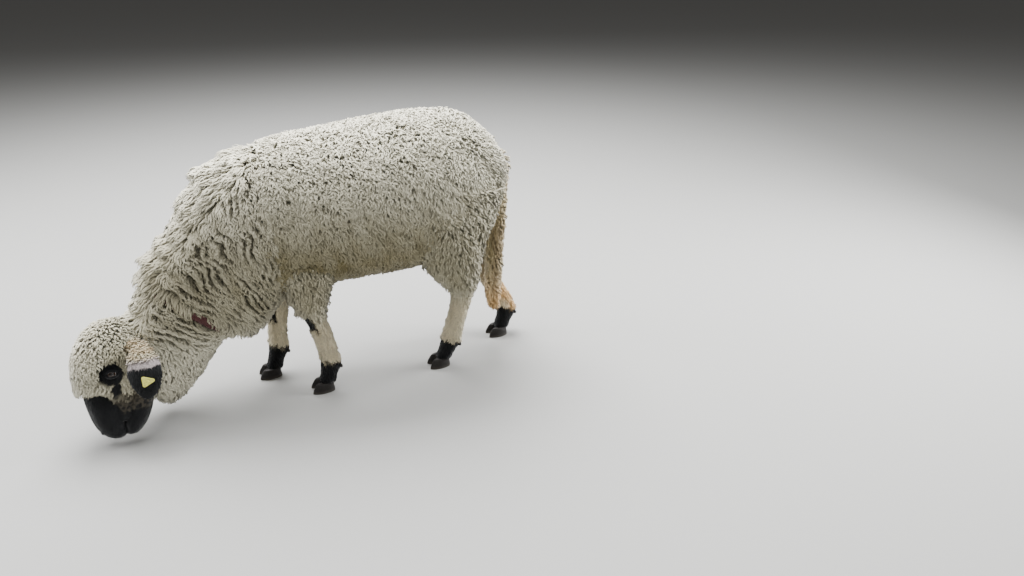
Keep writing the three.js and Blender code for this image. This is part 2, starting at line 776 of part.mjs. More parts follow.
const pieces = [
  ["torso", torsoCore(COAT.torso.height)],
  ["neck", neckCore(COAT.neck.height)],
  ["head", bareHead()],
  ["tail", tailCore()],
  ...Object.entries(LEGS).map(([name, leg]) => [
    name.startsWith("fore") ? "foreLeg" : "hindLeg",
    legCore(leg),
  ]),
];
const names = new Map();
const solids = [];
for (const [name, made] of pieces) {
  const solid = made.asOriginal();
  names.set(solid.originalID(), name);
  solids.push(solid);
}
const core = wasm.Manifold.union(solids);
const clumps = woolClumps(core, names);
const dews = Object.values(LEGS).flatMap(dewClaws);
let rest = wasm.Manifold.union([core, ...clumps, ...dews]).asOriginal().simplify(COARSE);
for (const hand of [1, -1]) {
  rest = rest.subtract(grown(ear(hand), 2 * GAP)).subtract(eyeball(hand, 2 * GAP));
}
rest = rest.subtract(earTag(GAP));
rest = rest.subtract(collarHoop(GAP));

const made = {};
for (const [name, [from, to, top]] of Object.entries(LEG_CUTS)) {
  const { hand } = LEGS[name];
  const inner = name.startsWith("fore") ? FORE_MIDLINE : MIDLINE;
  const cut = (more) => {
    const ys = [hand * (inner - more), hand * 300];
    return boxBetween(
      new THREE.Vector3(from - more, Math.min(...ys), HOOF_TOP + GAP - (more > 0 ? 100 : 0)),
      new THREE.Vector3(to + more, Math.max(...ys), top + more),
    );
  };
  made[name] = rest.intersect(cut(-GAP / 2));
  rest = rest.subtract(cut(GAP / 2));
}

function tailRegion(more) {
  const half = MIDLINE + 4 + more;
  const edge = TAIL_EDGE.map(([x, z]) => new THREE.Vector2(x - more, z));
  const slab = new THREE.ExtrudeGeometry(new THREE.Shape(edge), { depth: 2 * half, bevelEnabled: false });
  const upright = new THREE.Matrix4().makeRotationX(Math.PI / 2).setPosition(0, half, 0);
  return placed(slab, upright);
}
made.tail = rest.intersect(tailRegion(-GAP / 2));
rest = rest.subtract(tailRegion(GAP / 2));

// Flat cuts through the neck, each given by a point and a direction towards the nose.
function splitAt(solid, point, towards) {
  const n = towards.clone().normalize();
  const offset = n.dot(point);
  return [
    solid.trimByPlane(n.toArray(), offset + GAP / 2),
    solid.trimByPlane(n.clone().negate().toArray(), -offset + GAP / 2),
  ];
}
const headBack = headPoint(HEAD_CUT.s, HEAD_CUT.f, 0);
const towardsFace = TO_FACE.clone().multiplyScalar(HEAD_CUT.face).addScaledVector(TO_NOSE, HEAD_CUT.nose);
const [headPart, behindHead] = splitAt(rest, headBack, towardsFace);
const [neckPart, torsoPart] = splitAt(behindHead, NECK_CUT.point, NECK_CUT.towards);
made.head = headPart;
made.neck = neckPart;
made.torso = torsoPart;

for (const [hand, name] of [
  [1, "left"],
  [-1, "right"],
]) {
  made[`ear_${name}`] = hand > 0 ? ear(hand).subtract(earTag(GAP)) : ear(hand);
  made[`eye_${name}`] = eyeball(hand);
}
made.ear_tag = earTag();
made.collar = collarHoop();
for (const [name, leg] of Object.entries(LEGS)) {
  const foot = name.replace("_leg", "_hoof");
  made[`${foot}_outer`] = claw(leg, leg.hand);
  made[`${foot}_inner`] = claw(leg, -leg.hand);
}

// The finishes, and the group of named meshes.

const WOOL = new THREE.MeshStandardMaterial({ color: 0xcfc6ae, roughness: 0.95, metalness: 0 });
const BLACK_FUR = new THREE.MeshStandardMaterial({ color: 0x17161a, roughness: 0.9, metalness: 0 });
const HORN = new THREE.MeshStandardMaterial({ color: 0x2a2622, roughness: 0.6, metalness: 0 });
const EYE_BALL = new THREE.MeshStandardMaterial({ color: 0x1c120a, roughness: 0.08, metalness: 0 });
const YELLOW = new THREE.MeshStandardMaterial({ color: 0xd8cf3c, roughness: 0.5, metalness: 0 });
const STRAP = new THREE.MeshStandardMaterial({ color: 0x6b2f2c, roughness: 0.8, metalness: 0 });

function finishOf(name) {
  if (name.startsWith("eye")) return EYE_BALL;
  if (name.startsWith("ear_tag")) return YELLOW;
  if (name.startsWith("ear")) return BLACK_FUR;
  if (name.includes("hoof")) return HORN;
  return name === "collar" ? STRAP : WOOL;
}

const sheep = new THREE.Group();
for (const [name, solid] of Object.entries(made)) {
  const geometry = geometryOf(largest(solid));
  geometry.computeVertexNormals();
  const mesh = new THREE.Mesh(geometry, finishOf(name));
  mesh.name = name;
  sheep.add(mesh);
}
sheep.position.copy(FEET_TO_CENTRE);

export default sheep;
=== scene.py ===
# A grazing Valais blacknose sheep, life size, as a still museum model: a skin, locks of wool rooted on
# it, short black fur, eyes, hooves, a collar and an ear tag, on a plain pale floor.
# Stations are in millimetres from between the fore feet, and every mesh is in metres in the model's frame.
import math

import bpy
import numpy as np
from mathutils import Matrix, Vector, kdtree


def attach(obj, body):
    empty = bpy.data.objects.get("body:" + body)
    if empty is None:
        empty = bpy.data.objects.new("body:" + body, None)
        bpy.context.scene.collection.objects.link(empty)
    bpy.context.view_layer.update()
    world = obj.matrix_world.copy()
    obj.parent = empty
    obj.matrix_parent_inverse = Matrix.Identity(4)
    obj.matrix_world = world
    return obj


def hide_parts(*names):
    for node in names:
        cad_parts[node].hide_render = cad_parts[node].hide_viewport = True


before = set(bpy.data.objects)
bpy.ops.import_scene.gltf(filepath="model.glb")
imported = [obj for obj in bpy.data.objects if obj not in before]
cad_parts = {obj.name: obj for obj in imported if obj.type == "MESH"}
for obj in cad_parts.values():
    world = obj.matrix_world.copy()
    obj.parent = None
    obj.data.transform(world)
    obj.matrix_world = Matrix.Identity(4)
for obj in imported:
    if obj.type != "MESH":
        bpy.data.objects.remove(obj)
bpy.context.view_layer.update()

# The skin is the animal under its wool, one closed body from the lips to the hooves. Sheets are rolled
# round the sections of each part, joined, fused and smoothed, so that no seam shows where the parts meet.
FEET_TO_CENTRE = np.array([-79.0, 0.0, 0.0])
TORSO_WOOL = 31
NECK_WOOL = 32

# The fleece outline of the torso: x, top, bottom, half width.
TORSO = [
    [-150, 642, 400, 70],
    [-100, 715, 328, 125],
    [-30, 747, 304, 160],
    [60, 759, 317, 180],
    [160, 769, 328, 195],
    [280, 782, 332, 205],
    [400, 791, 339, 205],
    [480, 786, 364, 195],
    [552, 757, 401, 173],
    [607, 709, 468, 142],
    [641, 645, 498, 101],
    [650, 586, 528, 48],
]
# The fleece outline of the neck: nape x, nape z, throat x, throat z, y, half width.
NECK = [
    [30, 688, 60, 345, 0, 110],
    [-60, 741, -11, 297, 0, 152],
    [-145, 712, -59, 246, 0, 150],
    [-225, 635, -103, 194, 0, 138],
    [-296, 539, -190, 194, -2, 126],
    [-362, 445, -245, 130, -8, 113],
    [-414, 354, -275, 90, -18, 101],
    [-444, 302, -350, 32, -30, 86],
    [-453, 262, -368, 112, -42, 55],
]
# The legs from the body down to the coronet: x, y, z, half depth, half width.
LEGS = {
    "fore_left": [
        [54, -82, 420, 64, 56],
        [46, -90, 335, 50, 50],
        [45, -90, 285, 35, 41],
        [52, -87, 245, 25, 32],
        [63, -84, 215, 26, 28],
        [74, -80, 165, 25, 23],
        [82, -77, 118, 25, 23],
        [85, -75, 84, 29, 25],
        [77, -73, 54, 24, 23],
        [68, -71, 22, 26, 24],
    ],
    "fore_right": [
        [-20, 82, 420, 70, 56],
        [-30, 90, 335, 60, 50],
        [-33, 90, 285, 46, 41],
        [-35, 87, 245, 34, 33],
        [-36, 84, 215, 31, 29],
        [-41, 80, 165, 25, 23],
        [-46, 77, 118, 25, 23],
        [-47, 75, 84, 29, 25],
        [-59, 73, 54, 24, 23],
        [-69, 71, 22, 26, 24],
    ],
    "hind_left": [
        [468, -92, 560, 128, 70],
        [456, -104, 470, 104, 78],
        [454, -110, 400, 78, 70],
        [462, -110, 350, 62, 58],
        [480, -106, 305, 45, 44],
        [489, -100, 265, 30, 34],
        [482, -91, 205, 25, 26],
        [468, -82, 145, 26, 24],
        [459, -76, 106, 29, 25],
        [454, -71, 78, 30, 26],
        [442, -66, 50, 25, 24],
        [430, -62, 22, 27, 24],
    ],
    "hind_right": [
        [500, 92, 560, 120, 70],
        [520, 104, 470, 112, 78],
        [542, 110, 400, 92, 70],
        [568, 110, 350, 73, 57],
        [602, 106, 305, 53, 45],
        [632, 100, 265, 40, 35],
        [644, 91, 205, 31, 27],
        [677, 82, 145, 29, 24],
        [695, 76, 106, 29, 25],
        [698, 71, 78, 30, 26],
        [684, 66, 50, 25, 24],
        [672, 62, 22, 27, 24],
    ],
}
# The tail before its wool, in the same terms.
TAIL = [
    [585, 0, 660, 20, 22],
    [628, 0, 628, 22, 26],
    [643, 0, 560, 20, 28],
    [640, 0, 480, 18, 27],
    [636, 0, 400, 17, 25],
    [630, 0, 310, 16, 23],
    [626, 0, 230, 15, 21],
    [627, 0, 165, 13, 17],
    [629, 0, 138, 6, 8],
]
# The head has a frame of its own: s runs from the tip of the muzzle up to the poll, f towards the face.
MUZZLE_TIP = np.array([-499.0, -147.0, 27.0])
TO_NOSE = np.array([0.02, -0.37, -0.93])
TO_NOSE /= np.linalg.norm(TO_NOSE)
TO_LEFT = np.array([0, -0.93, 0.37])
TO_LEFT -= TO_NOSE * (TO_LEFT @ TO_NOSE)
TO_LEFT /= np.linalg.norm(TO_LEFT)
TO_FACE = np.cross(TO_NOSE, TO_LEFT)
# The skull with its skin: s, front, back, half width.
SKULL = [
    [0, -2, -25, 19],
    [7, 13, -31, 31],
    [28, 31, -36, 41],
    [58, 43, -46, 44],
    [95, 50, -66, 45],
    [130, 53, -82, 51],
    [165, 54, -95, 58],
    [195, 52, -102, 63],
    [225, 45, -102, 63],
    [255, 30, -94, 57],
    [280, 8, -80, 45],
    [295, -15, -60, 24],
]
JAW = [
    [2, -34, -52, 17],
    [10, -31, -66, 27],
    [30, -28, -84, 34],
    [55, -32, -98, 38],
    [90, -44, -110, 43],
    [140, -60, -118, 47],
    [190, -74, -119, 43],
    [215, -84, -108, 28],
]
# The cheeks fill the valley between skull and jaw above the corner of the mouth.
CHEEKS = [
    [44, -8, -52, 36],
    [56, -4, -70, 41],
    [90, 0, -86, 44.5],
    [140, -4, -96, 50],
    [190, -20, -98, 52],
    [205, -40, -90, 40],
]
# The ear: down from its root, to the rear, out from the head, half width, bend of the cup.
EAR_ROOT = (236, -104, 52)
EAR = [
    [0, 0, 0, 17, 4],
    [12, -3, 18, 23, 8],
    [32, -6, 36, 31, 12],
    [56, -8, 46, 40, 13],
    [80, -8, 50, 41, 11],
    [106, -7, 49, 34, 8],
    [128, -4, 46, 21, 4],
    [140, -2, 45, 8, 1],
]
EAR_THICK = 6
EYE = (173, -31, 50)
EYE_RADIUS = 14
NOSTRIL = (20, 15, 19)
NOSTRIL_TURN = 0.5
# How fine the skin's mesh is, in metres.
BODY_VOXEL = 0.0072
HEAD_VOXEL = 0.0025


def between(stations, t):
    """A smooth course through the stations, each column by itself, at shares t of its length."""
    s = np.asarray(stations, float)
    last = len(s) - 1
    i = np.minimum((t * last).astype(int), last - 1)
    u = (t * last - i)[:, None]
    p0, p1, p2, p3 = (s[np.clip(i + k, 0, last)] for k in (-1, 0, 1, 2))
    bend = 2 * p0 - 5 * p1 + 4 * p2 - p3
    return 0.5 * (2 * p1 + (p2 - p0) * u + bend * u**2 + (3 * p1 - p0 - 3 * p2 + p3) * u**3)


def sections(centre, across, up, sides, power):
    """Rounded sections round each centre, between an ellipse (power 2) and a box."""
    a = np.linspace(0, 2 * np.pi, sides, endpoint=False)
    c = (np.sign(np.cos(a)) * abs(np.cos(a)) ** (2 / power))[None, :, None]
    s = (np.sign(np.sin(a)) * abs(np.sin(a)) ** (2 / power))[None, :, None]
    return centre[:, None] + across[:, None] * c + up[:, None] * s


def in_model(points):
    """Millimetres from between the fore feet, as metres in the model's frame."""
    return (np.asarray(points) + FEET_TO_CENTRE) / 1000


def head_point(s, f, side):
    """A place on the head, in millimetres from between the fore feet."""
    s, f, side = (np.asarray(v, float)[..., None] for v in (s, f, side))
    return MUZZLE_TIP - TO_NOSE * s + TO_FACE * f + TO_LEFT * side


def pick(*pieces):
    bpy.ops.object.select_all(action="DESELECT")
    for piece in pieces:
        piece.select_set(True)
    bpy.context.view_layer.objects.active = pieces[0]


def edit(piece):
    pick(piece)
    bpy.ops.object.mode_set(mode="EDIT")
    bpy.ops.mesh.select_all(action="SELECT")


def rolled(name, rings, hoop=False):
    """A flat sheet rolled round the sections and sewn along its edge, its ends closed or sewn to a hoop."""
    if hoop:
        rings = np.concatenate([rings, rings[:1]])
    count, sides = rings.shape[:2]
    bpy.ops.object.select_all(action="DESELECT")
    bpy.ops.mesh.primitive_grid_add(x_subdivisions=sides, y_subdivisions=count - 1, size=1)
    piece = bpy.context.object
    piece.name = name
    sheet = np.concatenate([rings, rings[:, :1]], axis=1)
    piece.data.vertices.foreach_set("co", in_model(sheet).ravel())
    edit(piece)
    bpy.ops.mesh.remove_doubles(threshold=1e-6)
    bpy.ops.mesh.select_all(action="SELECT")
    if not hoop:
        bpy.ops.mesh.fill_holes(sides=0)
    bpy.ops.mesh.normals_make_consistent(inside=False)
    bpy.ops.object.mode_set(mode="OBJECT")
    return piece


def ball(name, centre, axes, radii, segments=24):
    """A sphere drawn out along three axes, placed in its mesh."""
    bpy.ops.object.select_all(action="DESELECT")
    bpy.ops.mesh.primitive_uv_sphere_add(segments=segments, ring_count=segments // 2, radius=1)
    piece = bpy.context.object
    piece.name = name
    place = np.eye(4)
    place[:3, :3] = np.array([np.asarray(a) * r for a, r in zip(axes, radii)]).T / 1000
    place[:3, 3] = in_model(centre)
    place = Matrix(place.tolist())
    piece.data.transform(place)
    if place.determinant() < 0:
        piece.data.flip_normals()
    return piece


def head_ball(name, where, radii, turn=0.0, segments=24):
    c, s = math.cos(turn), math.sin(turn)
    axes = (TO_NOSE * c - TO_FACE * s, TO_LEFT, TO_NOSE * s + TO_FACE * c)
    return ball(name, head_point(*where), axes, radii, segments)


def fused(name, pieces, voxel, smoothing):
    """Pieces joined into one closed body and smoothed."""
    pick(*pieces)
    bpy.ops.object.join()
    body = bpy.context.object
    body.name = name
    remesh = body.modifiers.new("fuse", "REMESH")
    remesh.mode = "VOXEL"
    remesh.voxel_size = voxel
    soften = body.modifiers.new("soften", "SMOOTH")
    soften.factor = 0.5
    soften.iterations = smoothing
    for modifier in ("fuse", "soften"):
        bpy.ops.object.modifier_apply(modifier=modifier)
    return body


def cut(body, tool, operation="DIFFERENCE"):
    """One closed body cut by, or fused with, another, which is used up."""
    pick(body)
    modifier = body.modifiers.new("cut", "BOOLEAN")
    modifier.operation = operation
    modifier.object = tool
    modifier.solver = "MANIFOLD"
    bpy.ops.object.modifier_apply(modifier=modifier.name)
    bpy.data.objects.remove(tool)


def columns(*values):
    return np.stack(np.broadcast_arrays(*values), 1)


def torso_rings(inset, count=40, sides=48):
    x, top, bottom, half = between(TORSO, np.linspace(0, 1, count)).T
    middle = (TORSO[0][0] + TORSO[-1][0]) / 2
    shorter = 1 - inset / (TORSO[-1][0] - middle)
    centre = columns(middle + (x - middle) * shorter, 0, (top + bottom) / 2)
    across, up = columns(0, half - inset, 0), columns(0, 0, (top - bottom) / 2 - inset)
    return sections(centre, across, up, sides, 2.2)


def neck_rings(inset, count=36, sides=44):
    nape_x, nape_z, throat_x, throat_z, y, half = between(NECK, np.linspace(0, 1, count)).T
    nape, throat = columns(nape_x, y, nape_z), columns(throat_x, y, throat_z)
    reach = np.linalg.norm(nape - throat, axis=1, keepdims=True) / 2
    up = (nape - throat) / 2 * (1 - inset / reach)
    return sections((nape + throat) / 2, columns(0, half - inset, 0), up, sides, 2.1)


def limb_rings(stations, count, sides, power):
    x, y, z, deep, half = between(stations, np.linspace(0, 1, count)).T
    return sections(columns(x, y, z), columns(deep, 0, 0), columns(0, half, 0), sides, power)


def head_rings(stations, count=40, sides=40):
    s, front, back, half = between(stations, np.linspace(0, 1, count)).T
    centre = head_point(s, (front + back) / 2, 0 * s)
    across, up = TO_LEFT * half[:, None], TO_FACE * (front - back)[:, None] / 2
    return sections(centre, across, up, sides, 2.3)


def ear_rings(hand, count=30, steps=14):
    """A cupped leaf that hangs from its root with its back outwards, thicker at the root."""
    t = np.linspace(0, 1, count)
    down, rear, out, half, cup = between(EAR, t).T
    middle = head_point(EAR_ROOT[0] - down, EAR_ROOT[1] + rear, hand * (EAR_ROOT[2] + out))
    course = np.gradient(middle, axis=0)
    course /= np.linalg.norm(course, axis=1, keepdims=True)
    wide = TO_FACE - course * (course @ TO_FACE)[:, None]
    wide /= np.linalg.norm(wide, axis=1, keepdims=True)
    outward = hand * np.cross(wide, course)
    thick = EAR_THICK * (1.4 - 0.7 * t) * np.minimum(1, half / 14)
    u = np.linspace(-1, 1, steps)[None, :]
    edge = np.sqrt(np.maximum(0.12, 1 - u * u))
    rows = []
    for face in (1, -1):
        rise = cup[:, None] * (1 - u * u) + face * thick[:, None] * edge / 2
        row = middle[:, None] + wide[:, None] * (u * half[:, None])[..., None]
        row = row + outward[:, None] * rise[..., None]
        rows.append(row[:, ::face])
    return np.concatenate(rows, axis=1)


def lid_rings(hand, over):
    """An eyelid is a ridge along an arc over or under the eyeball."""
    a = np.linspace(0, np.pi, 17)
    out = EYE[2] + 12.5 - 5.5 * np.cos(a) ** 2
    middle = head_point(EYE[0] + over * 8.1 * np.sin(a), EYE[1] + 15.5 * np.cos(a), hand * out)
    girth = (3.2 * (0.55 + 0.45 * np.sin(a)))[:, None]
    return sections(middle, TO_NOSE * girth, TO_LEFT * (hand * 1.5 * girth), 12, 2)


parts = {
    "torso": torso_rings(TORSO_WOOL),
    "neck": neck_rings(NECK_WOOL),
    "tail": limb_rings(TAIL, 40, 22, 2),
}
for leg, stations in LEGS.items():
    parts[leg] = limb_rings(stations, 5 * len(stations), 28, 2.1)
head_parts = {
    "cheeks": head_rings(CHEEKS, 24),
    "skull": head_rings(SKULL),
    "jaw": head_rings(JAW, 30),
    "ear_left": ear_rings(1),
    "ear_right": ear_rings(-1),
}

body = fused("body", [rolled(name, rings) for name, rings in parts.items()], BODY_VOXEL, 5)
head_pieces = [rolled(name, rings) for name, rings in head_parts.items()]
for hand in (1, -1):
    # Swellings of the face: s, f, side, then the radii along the nose, across it and towards the face.
    for name, s, f, side, radii, turn in (
        ("brow", EYE[0] + 13, EYE[1] + 2, EYE[2] - 2, (10, 13, 19), 0),
        ("ear_base", EAR_ROOT[0] - 2, EAR_ROOT[1] + 12, EAR_ROOT[2] + 2, (17, 17, 24), 0),
        ("upper_lip", 17, -13, 17, (17, 19, 21), 0),
        ("wing", NOSTRIL[0] + 4, NOSTRIL[1] + 2, NOSTRIL[2], (8, 8, 11), NOSTRIL_TURN),
    ):
        head_pieces.append(head_ball(name, (s, f, hand * side), radii, hand * turn))
    for over in (1, -1):
        head_pieces.append(rolled("lid", lid_rings(hand, over)))
head_pieces.append(head_ball("lower_lip", (17, -50, 0), (17, 27, 16)))
head = fused("head", head_pieces, HEAD_VOXEL, 2)
for hand in (1, -1):
    socket = (EYE[0], EYE[1], hand * EYE[2])
    nostril = (NOSTRIL[0], NOSTRIL[1], hand * NOSTRIL[2])
    cut(head, head_ball("socket", socket, (EYE_RADIUS + 0.3,) * 3, 0, 40))
    cut(head, head_ball("nostril", nostril, (3.4, 6.5, 9.5), hand * NOSTRIL_TURN))
cut(body, head, "UNION")
# Scraps that the nostrils cut loose are taken away.
edit(body)
bpy.ops.mesh.separate(type="LOOSE")
bpy.ops.object.mode_set(mode="OBJECT")
loose = sorted(bpy.context.selected_objects, key=lambda piece: len(piece.data.vertices))
skin = loose.pop()
for scrap in loose:
    bpy.data.objects.remove(scrap)
skin.name = "skin"
# The skin's unwrap, which also gives every lock its own small patch.
edit(skin)
bpy.ops.uv.smart_project(angle_limit=math.radians(66), island_margin=0.002)
bpy.ops.object.mode_set(mode="OBJECT")
skin.data.uv_layers[0].name = "OFBake"

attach(skin, "root")
FLESH = ("torso", "neck", "head", "tail", "ear_left", "ear_right")
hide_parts(*[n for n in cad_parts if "leg" in n or n in FLESH])


# The coat's roots. Every place on the skin knows which part of the body it lies on, its normal and its
# colour. Roots are thrown at random and kept where they have room, as evenly as follicles lie.
draw = np.random.default_rng(20417)
PART_NAMES = list(parts) + list(head_parts)


def ripple(points, size, seed, waves=9):
    """A smooth, seeded unevenness from about -1 to 1, of the given size in millimetres."""
    r = np.random.default_rng(seed)
    ways = r.normal(size=(waves, 3))
    pace = (2 * np.pi / size) * r.uniform(0.6, 1.4, (waves, 1))
    ways *= pace / np.linalg.norm(ways, axis=1, keepdims=True)
    return np.sin(points @ ways.T + r.uniform(0, 2 * np.pi, waves)).sum(1) / math.sqrt(waves / 2) / 1.6


def step(low, high, v):
    u = np.clip((v - low) / (high - low), 0, 1)
    return u * u * (3 - 2 * u)


def unit(v):
    return v / np.maximum(np.linalg.norm(v, axis=1, keepdims=True), 1e-9)


def flat_on(v, normal):
    return v - normal * (v * normal).sum(1, keepdims=True)


def head_place(p):
    """s, f and side of places given in millimetres from between the fore feet."""
    d = p - MUZZLE_TIP
    return -(d @ TO_NOSE), d @ TO_FACE, d @ TO_LEFT


def finder_of(points):
    """A search for the nearest of the points."""
    tree = kdtree.KDTree(len(points))
    for i, point in enumerate(points):
        tree.insert(point, i)
    tree.balance()
    return tree


outlines = [rings.reshape(-1, 3) for rings in list(parts.values()) + list(head_parts.values())]
nearest_outline = finder_of(np.concatenate(outlines))
owner = np.repeat(np.arange(len(outlines)), [len(points) for points in outlines])


def read(items, name, width, kind=float):
    """One value of every item of a mesh, a row each."""
    values = np.zeros(len(items) * width, kind)
    items.foreach_get(name, values)
    return values.reshape(-1, width)


mesh = skin.data
mesh.calc_loop_triangles()
skin_at = read(mesh.vertices, "co", 3) * 1000 - FEET_TO_CENTRE
skin_normal = read(mesh.vertices, "normal", 3)
skin_part = owner[[nearest_outline.find(point)[1] for point in skin_at]]
corner = read(mesh.loop_triangles, "vertices", 3, int)
loop = read(mesh.loop_triangles, "loops", 3, int)
skin_uv = read(mesh.uv_layers["OFBake"].data, "uv", 2)
edges = skin_at[corner]
face_area = np.linalg.norm(np.cross(edges[:, 1] - edges[:, 0], edges[:, 2] - edges[:, 0]), axis=1) / 2


def in_parts(part, *names):
    return np.isin(part, [PART_NAMES.index(name) for name in names])


NEARBY = [(i, j, k) for i in (-1, 0, 1) for j in (-1, 0, 1) for k in (-1, 0, 1)]


def roots(names, room, wanted=None, crowd=5.0):
    """Places on those parts of the skin, at least room apart in millimetres, where wanted holds."""
    area = np.where(in_parts(skin_part[corner[:, 0]], *names), face_area, 0)
    if wanted is not None:
        area = np.where(wanted(skin_at[corner].mean(1), skin_part[corner[:, 0]]), area, 0)
    count = int(crowd * area.sum() / room**2)
    face = draw.choice(len(area), size=count, p=area / area.sum())
    share = draw.random((count, 2))
    share = np.where(share.sum(1, keepdims=True) > 1, 1 - share, share)
    weight = np.column_stack([1 - share.sum(1), share])[..., None]
    at = (skin_at[corner[face]] * weight).sum(1)
    normal = unit((skin_normal[corner[face]] * weight).sum(1))
    uv = (skin_uv[loop[face]] * weight).sum(1)
    part = skin_part[corner[face][:, 0]]
    if wanted is not None:
        keep = wanted(at, part)
        at, normal, uv, part = at[keep], normal[keep], uv[keep], part[keep]
    taken, chosen = {}, []
    cell = np.floor(at / room).astype(int)
    for n, (place, (a, b, c)) in enumerate(zip(at.tolist(), cell.tolist())):
        free = True
        for i, j, k in NEARBY:
            for other in taken.get((a + i, b + j, c + k), ()):
                squared = sum((here - there) ** 2 for here, there in zip(other, place))
                if squared < room**2:
                    free = False
                    break
            if not free:
                break
        if free:
            taken.setdefault((a, b, c), []).append(place)
            chosen.append(n)
    return at[chosen], normal[chosen], uv[chosen], part[chosen]


# The colours of the coat, as they show in daylight: cream wool, yellower and darker below, where yellowed
# wool and painted shade are mixed, and the black marks of the breed on muzzle, eyes, ears, knees and feet,
# with the smudged cheek of this animal. Painted shade also darkens the front of the right hind leg and the
# left side of the tail.
def linear(red, green, blue):
    c = np.array([red, green, blue]) / 255
    return np.where(c <= 0.04045, c / 12.92, ((c + 0.055) / 1.055) ** 2.4)


CREAM = linear(243, 238, 214)
# Yellowed wool below, made darker still as painted shade of the lower flanks, neck and legs.
YELLOWED_AND_SHADED = linear(120, 110, 74)
STAINED = linear(226, 184, 128)
# A dark brown for painted shade: the front of the right hind leg and the left side of the tail.
PAINTED_SHADE_BROWN = linear(128, 100, 72)
BUFF = linear(246, 226, 182)
SMUDGE = linear(86, 77, 63)
BLACK = linear(3, 5, 8)
LILAC = linear(176, 166, 168)
SAND = linear(178, 152, 116)


def blend(base, colour, share):
    return base * (1 - share[:, None]) + colour * share[:, None]


# How high the black of each foot reaches, and the height of the black patch on the knee.
BLACK_LEGS = {"fore_left": (98, 248), "fore_right": (100, 216), "hind_left": (92, 0), "hind_right": (94, 0)}


def muzzle_line(f):
    """How far up the black of the muzzle reaches."""
    return 134 - 66 * step(8, -46, f)


def coat_colour(p, part):
    """The coat's colour at places given in millimetres from between the fore feet."""
    n = ripple(p, 60, 3)
    fine = ripple(p, 22, 4)
    s, f = head_place(p)[:2]
    on_head = in_parts(part, "skull", "cheeks", "jaw")
    # Wool yellows and darkens downwards, less on the neck, the legs and the head: yellowed wool together
    # with painted shade of the lower body.
    yellow = step(720, 410, p[:, 2]) * (0.05 + 0.95 * step(180, 330, p[:, 2]))
    yellow = np.where(in_parts(part, "neck"), yellow * (0.68 - 0.33 * step(-280, -400, p[:, 0])), yellow)
    yellow = np.where(in_parts(part, *LEGS), 0.7 * yellow, yellow)
    yellow = np.where(on_head, 0.15 + 0.35 * step(60, -50, f), yellow)
    colour = blend(np.tile(CREAM, (len(p), 1)), YELLOWED_AND_SHADED, np.clip(0.12 + 0.8 * yellow + 0.06 * n, 0, 1))
    # Cheeks and throat are smudged. The muzzle is black up to a line that falls towards the throat.
    cheek = on_head * step(6, -24, f) * step(126, 100, s + 8 * fine)
    colour = blend(colour, SMUDGE, 0.9 * cheek)
    tufted = step(-0.6, 0.6, ripple(p, 13, 6) + 0.7 * ripple(p, 5, 7))
    sooty = cheek * (0.6 + 0.4 * step(110, 76, s)) * (0.6 + 0.4 * tufted)
    line = muzzle_line(f) + 5 * fine
    muzzle = on_head * step(line + 5, line - 5, s)
    away = np.hypot((s - EYE[0]) / 33, (f - EYE[1] - 3) / 30) + 0.10 * fine
    patch = on_head * step(1.1, 0.92, away)
    aside = abs(f + 34 + 0.15 * (s - 146) + 3 * np.sin(s / 9)) + 5 * fine
    streak = on_head * step(14, 9, aside) * step(104, 116, s + 6 * fine) * step(162, 152, s)
    black = np.maximum.reduce([muzzle, patch, streak, sooty])
    ear = in_parts(part, "ear_left", "ear_right")
    down = EAR_ROOT[0] - s
    colour = blend(colour, SAND, ear * step(70, 5, down) * (0.5 + 0.25 * np.sin(down / 2.2 + 2 * n)))
    colour = blend(colour, LILAC, ear * step(30, 44, down) * 0.9)
    black = np.maximum(black, ear * step(54, 59, down + 3 * fine + 2 * n))
    # Feet are black below the fetlocks, and so is a patch on the front of each knee.
    for leg, (top, knee) in BLACK_LEGS.items():
        on_leg = in_parts(part, leg)
        upwards = between(LEGS[leg], np.linspace(0, 1, 60))[::-1]
        middle = np.interp(p[:, 2], upwards[:, 2], upwards[:, 0])
        foot = step(top + 10, top - 4, p[:, 2] + 5 * fine + 0.25 * (p[:, 0] - middle))
        black = np.maximum(black, on_leg * foot)
        if knee:
            front = step(-2, -10, p[:, 0] - middle + 5 * fine)
            level = abs(p[:, 2] - knee) / 33 + 0.2 * fine
            black = np.maximum(black, on_leg * front * step(1.1, 0.9, level))
        colour = blend(colour, BUFF, 0.5 * on_leg * step(300, 200, p[:, 2]))
        if leg == "hind_right":
            rear = step(-16, 8, p[:, 0] - middle + 8 * n)
            colour = blend(colour, CREAM, 0.5 * on_leg * rear)
            colour = blend(colour, STAINED, on_leg * rear * step(260, 160, p[:, 2]))
            # Its front side, in the shade between the legs, is painted dark brown: painted shade.
            colour = blend(colour, PAINTED_SHADE_BROWN, 0.5 * on_leg * (1 - rear) * step(140, 220, p[:, 2]))
    tail = in_parts(part, "tail")
    colour = blend(colour, BUFF, 0.5 * tail)
    colour = blend(colour, STAINED, tail * step(300, 150, p[:, 2]))
    # The tail's left side is painted dark brown: painted shade.
    tail_painted_shade = step(-12, -22, p[:, 1] + 6 * n) * step(170, 230, p[:, 2]) * step(520, 400, p[:, 2])
    colour = blend(colour, PAINTED_SHADE_BROWN, 0.45 * tail * tail_painted_shade)
    return blend(colour, BLACK, black), black


def coloured(piece, colour):
    """Gives each vertex its colour, which the coat's materials read."""
    layer = piece.data.color_attributes.new("tone", "FLOAT_COLOR", "POINT")
    opaque = np.column_stack([colour, np.ones(len(colour))])
    layer.data.foreach_set("color", opaque.astype(np.float32).ravel())


skin_colour, skin_black = coat_colour(skin_at, skin_part)
